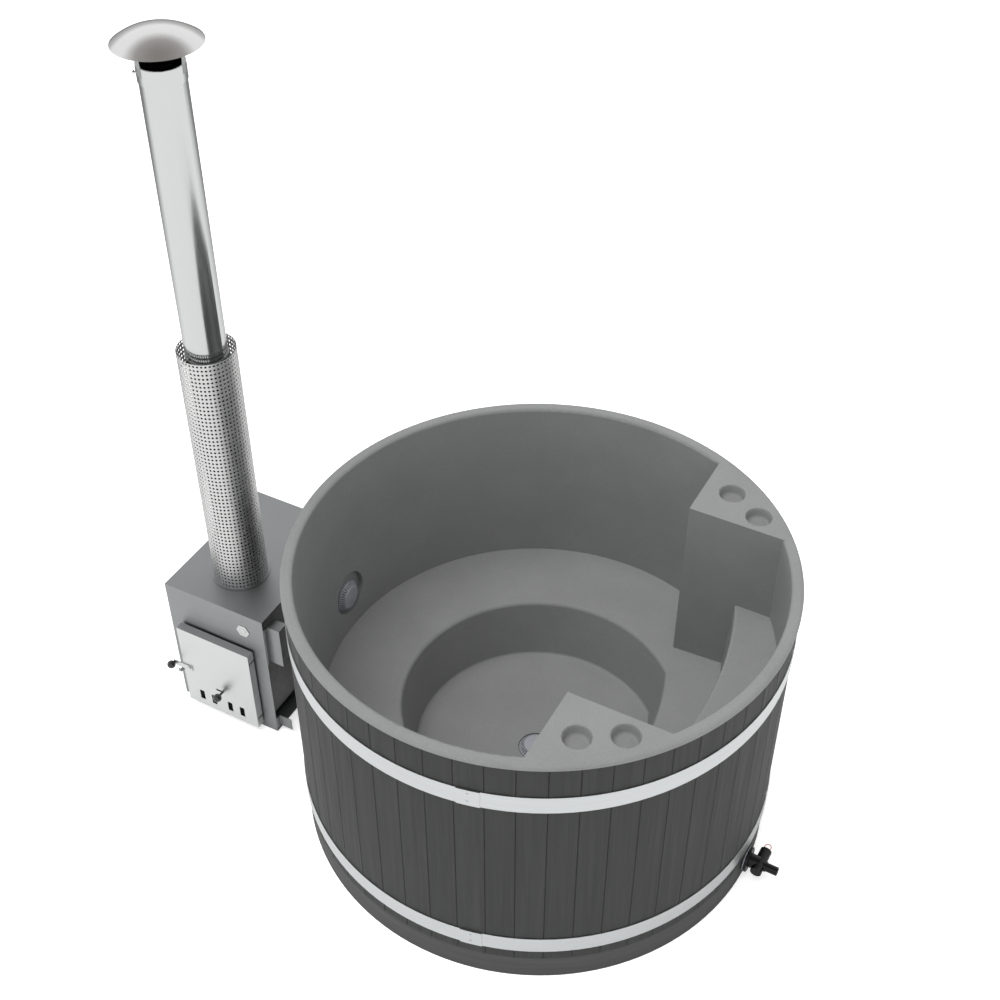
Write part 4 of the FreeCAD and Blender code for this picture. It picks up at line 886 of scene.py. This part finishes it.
@dataclass
class HeatGuard:
    """Perforated sheet round the lower chimney, with real holes."""

    columns: int = 46
    rows: int = 62
    hole_radius: float = 3.8 * MM
    sheet: float = 1.5 * MM
    sides: int = 12
    smooth: float = 30.0

    def border(self, step: int) -> tuple[float, float]:
        """Point on a cell's border that faces a corner of its hole.

        Args:
            step: Number of the hole's corner.

        Returns:
            The point across and up, in half cells.
        """
        angle = math.tau * (step + 0.5) / self.sides
        across, up = math.cos(angle), math.sin(angle)
        reach = max(abs(across), abs(up))
        return across / reach, up / reach

    def add_cell(self, mesh: bmesh.types.BMesh, hole: list, edge: list, row: int) -> None:
        """Add the faces of one cell: both sides of the sheet, the hole's wall and a cut end.

        Args:
            mesh: The guard's mesh.
            hole: Outer and inner corner at each step round the hole.
            edge: Outer and inner corner at each step round the cell.
            row: The cell's row.
        """
        ups = [self.border(step)[1] for step in range(self.sides)]
        for step in range(self.sides):
            after = (step + 1) % self.sides
            for side in (0, 1):
                mesh.faces.new((hole[step][side], edge[step][side], edge[after][side], hole[after][side]))
            mesh.faces.new((hole[step][0], hole[after][0], hole[after][1], hole[step][1]))
            bottom = row == 0 and max(ups[step], ups[after]) == -1.0
            top = row == self.rows - 1 and min(ups[step], ups[after]) == 1.0
            if bottom or top:
                mesh.faces.new((edge[step][0], edge[after][0], edge[after][1], edge[step][1]))

    def build(self, wardrobe: Wardrobe) -> bpy.types.Object:
        """Guard in the place of its plain node.

        Args:
            wardrobe: The finishes.

        Returns:
            The guard.
        """
        low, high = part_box("heat_guard")
        axis = (low + high) / 2
        outer = (high.x - low.x) / 2
        pitch = (high.z - low.z) / self.rows
        turn = math.tau / self.columns

        def fill(mesh: bmesh.types.BMesh) -> None:
            """Sheet with a hole in each cell of a grid round the axis.

            Args:
                mesh: The empty mesh.
            """
            corners: dict[tuple, list] = {}

            def corner(key: tuple, angle: float, height: float) -> list:
                """Outer and inner corner at a place, made once.

                Args:
                    key: What tells the place from others.
                    angle: Angle round the axis.
                    height: Height above the floor.

                Returns:
                    The two corners.
                """
                if key not in corners:
                    corners[key] = [mesh.verts.new((axis.x + radius * math.cos(angle),
                                                    axis.y + radius * math.sin(angle), height))
                                    for radius in (outer, outer - self.sheet)]
                return corners[key]

            for column in range(self.columns):
                for row in range(self.rows):
                    angle, height = turn * column, low.z + pitch * (row + 0.5)
                    hole, edge = [], []
                    for step in range(self.sides):
                        across, up = self.border(step)
                        way = math.tau * (step + 0.5) / self.sides
                        hole.append(corner(("hole", column, row, step),
                                           angle + self.hole_radius * math.cos(way) / outer,
                                           height + self.hole_radius * math.sin(way)))
                        place = (round(2 * column + across, 3) % (2 * self.columns), round(2 * row + up, 3))
                        edge.append(corner(place, angle + across * turn / 2, height + up * pitch / 2))
                    self.add_cell(mesh, hole, edge, row)

        guard = mesh_piece("perforated_guard", fill, wardrobe.guard(), self.smooth)
        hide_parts("heat_guard")
        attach(guard, "tub")
        return guard


@dataclass
class MouldedShelves:
    """Corner shelves with the rounded edges and hollows of a moulding; the cups are in millimetres."""

    cups: tuple[tuple[float, float], ...] = ((396.2, 566.2), (511.2, 500.2),
                                             (396.2, -566.2), (511.2, -500.2))
    cup_reach: float = 50.0 * MM
    top_band: float = 16.0 * MM
    corner_band: float = 14.0 * MM
    edge_width: float = 7.0 * MM
    rim_width: float = 3.0 * MM
    hollow_width: float = 9.0 * MM
    steps: int = 4
    roundness: float = 0.5
    upright: float = 0.9
    least_turn: float = math.radians(40.0)
    join_gap: float = 0.02 * MM
    flat_turn: float = math.radians(0.3)
    smooth: float = 30.0

    def faces_room(self, normal: Vector, place: Vector) -> bool:
        """Whether a side face looks into the tub, not into the shell's hollow."""
        return normal.x < -self.upright or math.copysign(normal.y, -place.y * normal.y) > self.upright

    def family(self, edge: bmesh.types.BMEdge, low: Vector, high: Vector) -> str:
        """Sort an edge.

        Args:
            edge: An edge of the shelves.
            low: Lowest corner of the shelves.
            high: Highest corner of the shelves.

        Returns:
            edge, rim or hollow for an edge that is rounded, otherwise nothing.
        """
        if len(edge.link_faces) != 2 or edge.calc_face_angle(0.0) < self.least_turn:
            return ""
        place = (edge.verts[0].co + edge.verts[1].co) / 2
        first, second = (face.normal for face in edge.link_faces)
        up, side = (first, second) if first.z > second.z else (second, first)
        if up.z > self.upright:
            for x, y in self.cups:
                centre = Vector((x * MM, y * MM, place.z))
                if (centre - place).length < self.cup_reach and side.dot(centre - place) > 0.0:
                    return "rim" if place.z > high.z - self.top_band else "hollow"
            if place.z > high.z - self.top_band and self.faces_room(side, place):
                return "edge"
            return ""
        near = place.x < low.x + self.corner_band
        return "edge" if near and self.faces_room(up, place) and self.faces_room(side, place) else ""

    def build(self, node: bpy.types.Object, wardrobe: Wardrobe) -> bpy.types.Object:
        """Rounded copy of the plain node.

        Args:
            node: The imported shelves.
            wardrobe: The finishes.

        Returns:
            The shelves.
        """
        low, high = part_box("liner_shelves")
        widths = {"hollow": self.hollow_width, "rim": self.rim_width, "edge": self.edge_width}

        def fill(mesh: bmesh.types.BMesh) -> None:
            """Join the node's faces, then round each family of edges.

            Args:
                mesh: The empty mesh.
            """
            mesh.from_mesh(node.data)
            bmesh.ops.remove_doubles(mesh, verts=mesh.verts, dist=self.join_gap)
            bmesh.ops.dissolve_limit(mesh, angle_limit=self.flat_turn, verts=mesh.verts, edges=mesh.edges)
            mesh.normal_update()
            for kind, width in widths.items():
                chosen = [edge for edge in mesh.edges if self.family(edge, low, high) == kind]
                log.info("shelves: %d edges of kind %s", len(chosen), kind)
                bmesh.ops.bevel(mesh, geom=chosen, offset=width, segments=self.steps,
                                profile=self.roundness, affect="EDGES", clamp_overlap=True)
                mesh.normal_update()

        shelves = mesh_piece("moulded_shelves", fill, wardrobe.finish("liner_plastic"), self.smooth)
        shelves.modifiers.new("Weigh", "WEIGHTED_NORMAL").keep_sharp = True
        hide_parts("liner_shelves")
        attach(shelves, "tub")
        return shelves


@dataclass
class PullLoop:
    """Wire loop in the eye of the drain valve's plunger, turned to stand across the valve."""

    wire: float = 1.5 * MM
    half_width: float = 10.5 * MM
    points: int = 40
    sides: int = 10
    smooth: float = 60.0

    def build(self, wardrobe: Wardrobe) -> bpy.types.Object:
        """Loop in the place of its plain node.

        Args:
            wardrobe: The finishes.

        Returns:
            The loop.
        """
        low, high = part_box("pull_loop")
        centre = (low + high) / 2
        out_reach = (high.y - low.y) / 2 - self.wire
        up = Vector((0.0, 0.0, 1.0))

        def fill(mesh: bmesh.types.BMesh) -> None:
            """Closed tube round an oval that stands out of the plunger along Y.

            Args:
                mesh: The empty mesh.
            """
            ways = [math.tau * side / self.sides for side in range(self.sides)]
            rings = []
            for step in range(self.points):
                turn = math.tau * step / self.points
                out = Vector((math.sin(turn), -math.cos(turn), 0.0))
                place = centre + Vector((self.half_width * out.x, out_reach * out.y, 0.0))
                rings.append([mesh.verts.new(place + self.wire * (math.cos(way) * out + math.sin(way) * up))
                              for way in ways])
            for step, ring in enumerate(rings):
                after = rings[(step + 1) % self.points]
                for side in range(self.sides):
                    beside = (side + 1) % self.sides
                    mesh.faces.new((ring[side], ring[beside], after[beside], after[side]))

        loop = mesh_piece("wire_loop", fill, wardrobe.finish("loop_plastic"), self.smooth)
        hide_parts("pull_loop")
        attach(loop, "plunger")
        return loop


@dataclass
class BlankPlate:
    """Bare six-sided plate on the casing's front, with a raised ring given in shares of its half width."""

    across_corners: float = 54.0 * MM
    sheet: float = 2.5 * MM
    bevel: float = 0.8 * MM
    from_right: float = 86.0 * MM
    below_top: float = 79.0 * MM
    stand_off: float = 0.3 * MM
    sides: int = 6
    side_points: int = 4
    ring_foot: Span = (0.50, 0.62)
    ring_top: Span = (0.52, 0.60)
    round_within: float = 0.7
    smooth: float = 25.0

    def levels(self) -> list[tuple[float, float]]:
        """Outlines of the plate, from its seat over the rim and the raised ring to the middle.

        Returns:
            Radius and distance from the casing of each outline.
        """
        half = self.across_corners / 2
        ring = self.sheet + self.bevel
        return [(half, -self.stand_off), (half, self.sheet - self.bevel), (half - self.bevel, self.sheet),
                (half * self.ring_foot[1], self.sheet), (half * self.ring_top[1], ring),
                (half * self.ring_top[0], ring), (half * self.ring_foot[0], self.sheet)]

    def reach(self, radius: float, angle: float) -> float:
        """Distance of an outline from the middle.

        Args:
            radius: Radius of the outline's corners.
            angle: Angle from the middle.

        Returns:
            The distance, on a hexagon for the outer outlines and on a circle for the inner ones.
        """
        half_side = math.pi / self.sides
        if radius <= self.across_corners / 2 * self.round_within:
            return radius * math.cos(half_side)
        within = (angle + half_side) % (2 * half_side) - half_side
        return radius * math.cos(half_side) / math.cos(half_side - abs(within))

    def build(self, wardrobe: Wardrobe) -> bpy.types.Object:
        """Plate with a bevelled rim and a shallow raised ring.

        Args:
            wardrobe: The finishes.

        Returns:
            The plate.
        """
        low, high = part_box("heater_casing")
        centre = Vector((high.x - self.from_right, low.y, high.z - self.below_top))
        points = self.sides * self.side_points

        def fill(mesh: bmesh.types.BMesh) -> None:
            """Outlines joined by faces, and a face over the first and the last of them.

            Args:
                mesh: The empty mesh.
            """
            rings = []
            for radius, out in self.levels():
                corners = []
                for angle in (math.tau * step / points for step in range(points)):
                    reach = self.reach(radius, angle)
                    corners.append(mesh.verts.new((centre.x + reach * math.cos(angle), centre.y - out,
                                                   centre.z + reach * math.sin(angle))))
                rings.append(corners)
            for inner, outer in zip(rings, rings[1:]):
                for step in range(points):
                    after = (step + 1) % points
                    mesh.faces.new((inner[step], inner[after], outer[after], outer[step]))
            mesh.faces.new(rings[0])
            mesh.faces.new(rings[-1])

        plate = mesh_piece("blank_plate", fill, wardrobe.finish("door_steel"), self.smooth)
        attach(plate, "tub")
        return plate


@dataclass
class Softening:
    """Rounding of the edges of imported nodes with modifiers, which leave the nodes' meshes as they are."""

    sheet_nodes: tuple[str, ...] = ("heater_casing", "door_tray", "upper_bracket", "lower_bracket",
                                    "water_jacket", "mouth_frame", "latch_lever", "hoop_upper",
                                    "hoop_lower")
    sheet_width: float = 1.2 * MM
    valve_nodes: tuple[str, ...] = ("valve_nut", "valve_body", "drain_nut", "inlet_nut")
    valve_width: float = 0.8 * MM
    steps: int = 2
    least_turn: float = math.radians(32.0)
    join_gap: float = 0.02 * MM
    flat_turn: float = math.radians(0.4)

    def soften(self, node: bpy.types.Object, width: float) -> None:
        """Round the edges of one node.

        Args:
            node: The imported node.
            width: Width of the rounding.
        """
        node.modifiers.new("Join", "WELD").merge_threshold = self.join_gap
        flatten = node.modifiers.new("Flatten", "DECIMATE")
        flatten.decimate_type = "DISSOLVE"
        flatten.angle_limit = self.flat_turn
        bevel = node.modifiers.new("Round", "BEVEL")
        bevel.width = width
        bevel.segments = self.steps
        bevel.limit_method = "ANGLE"
        bevel.angle_limit = self.least_turn
        node.modifiers.new("Weigh", "WEIGHTED_NORMAL").keep_sharp = True

    def apply(self, nodes: dict[str, bpy.types.Object]) -> None:
        """Round the nodes that are bent from sheet or moulded.

        Args:
            nodes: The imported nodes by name.
        """
        for names, width in ((self.sheet_nodes, self.sheet_width), (self.valve_nodes, self.valve_width)):
            for name in names:
                self.soften(nodes[name], width)
                log.info("%s has its edges rounded by %.1f mm", name, width / MM)


def smooth_nodes(nodes: dict[str, bpy.types.Object]) -> None:
    """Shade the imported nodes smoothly; their faces are already split at sharp edges."""
    for node in nodes.values():
        node.data.shade_smooth()


def main() -> None:
    """Load the frame, dress it and add what only the visual model has."""
    logging.basicConfig(level=logging.INFO, format="%(message)s")
    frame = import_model()
    studio = Studio()
    studio.place_camera()
    studio.surround()
    studio.hang_lamp()
    studio.lay_floor()
    low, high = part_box("heat_guard")
    wardrobe = Wardrobe(((low.x + high.x) / 2, (low.y + high.y) / 2), high.z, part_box("door_tray"))
    nodes = frame["nodes"]
    smooth_nodes(nodes)
    wardrobe.dress(frame)
    Softening().apply(nodes)
    for piece in (HeatGuard().build(wardrobe), MouldedShelves().build(nodes["liner_shelves"], wardrobe),
                  PullLoop().build(wardrobe), BlankPlate().build(wardrobe)):
        log.info("%s has %d faces", piece.name, len(piece.data.polygons))


if __name__ == "__main__":
    main()
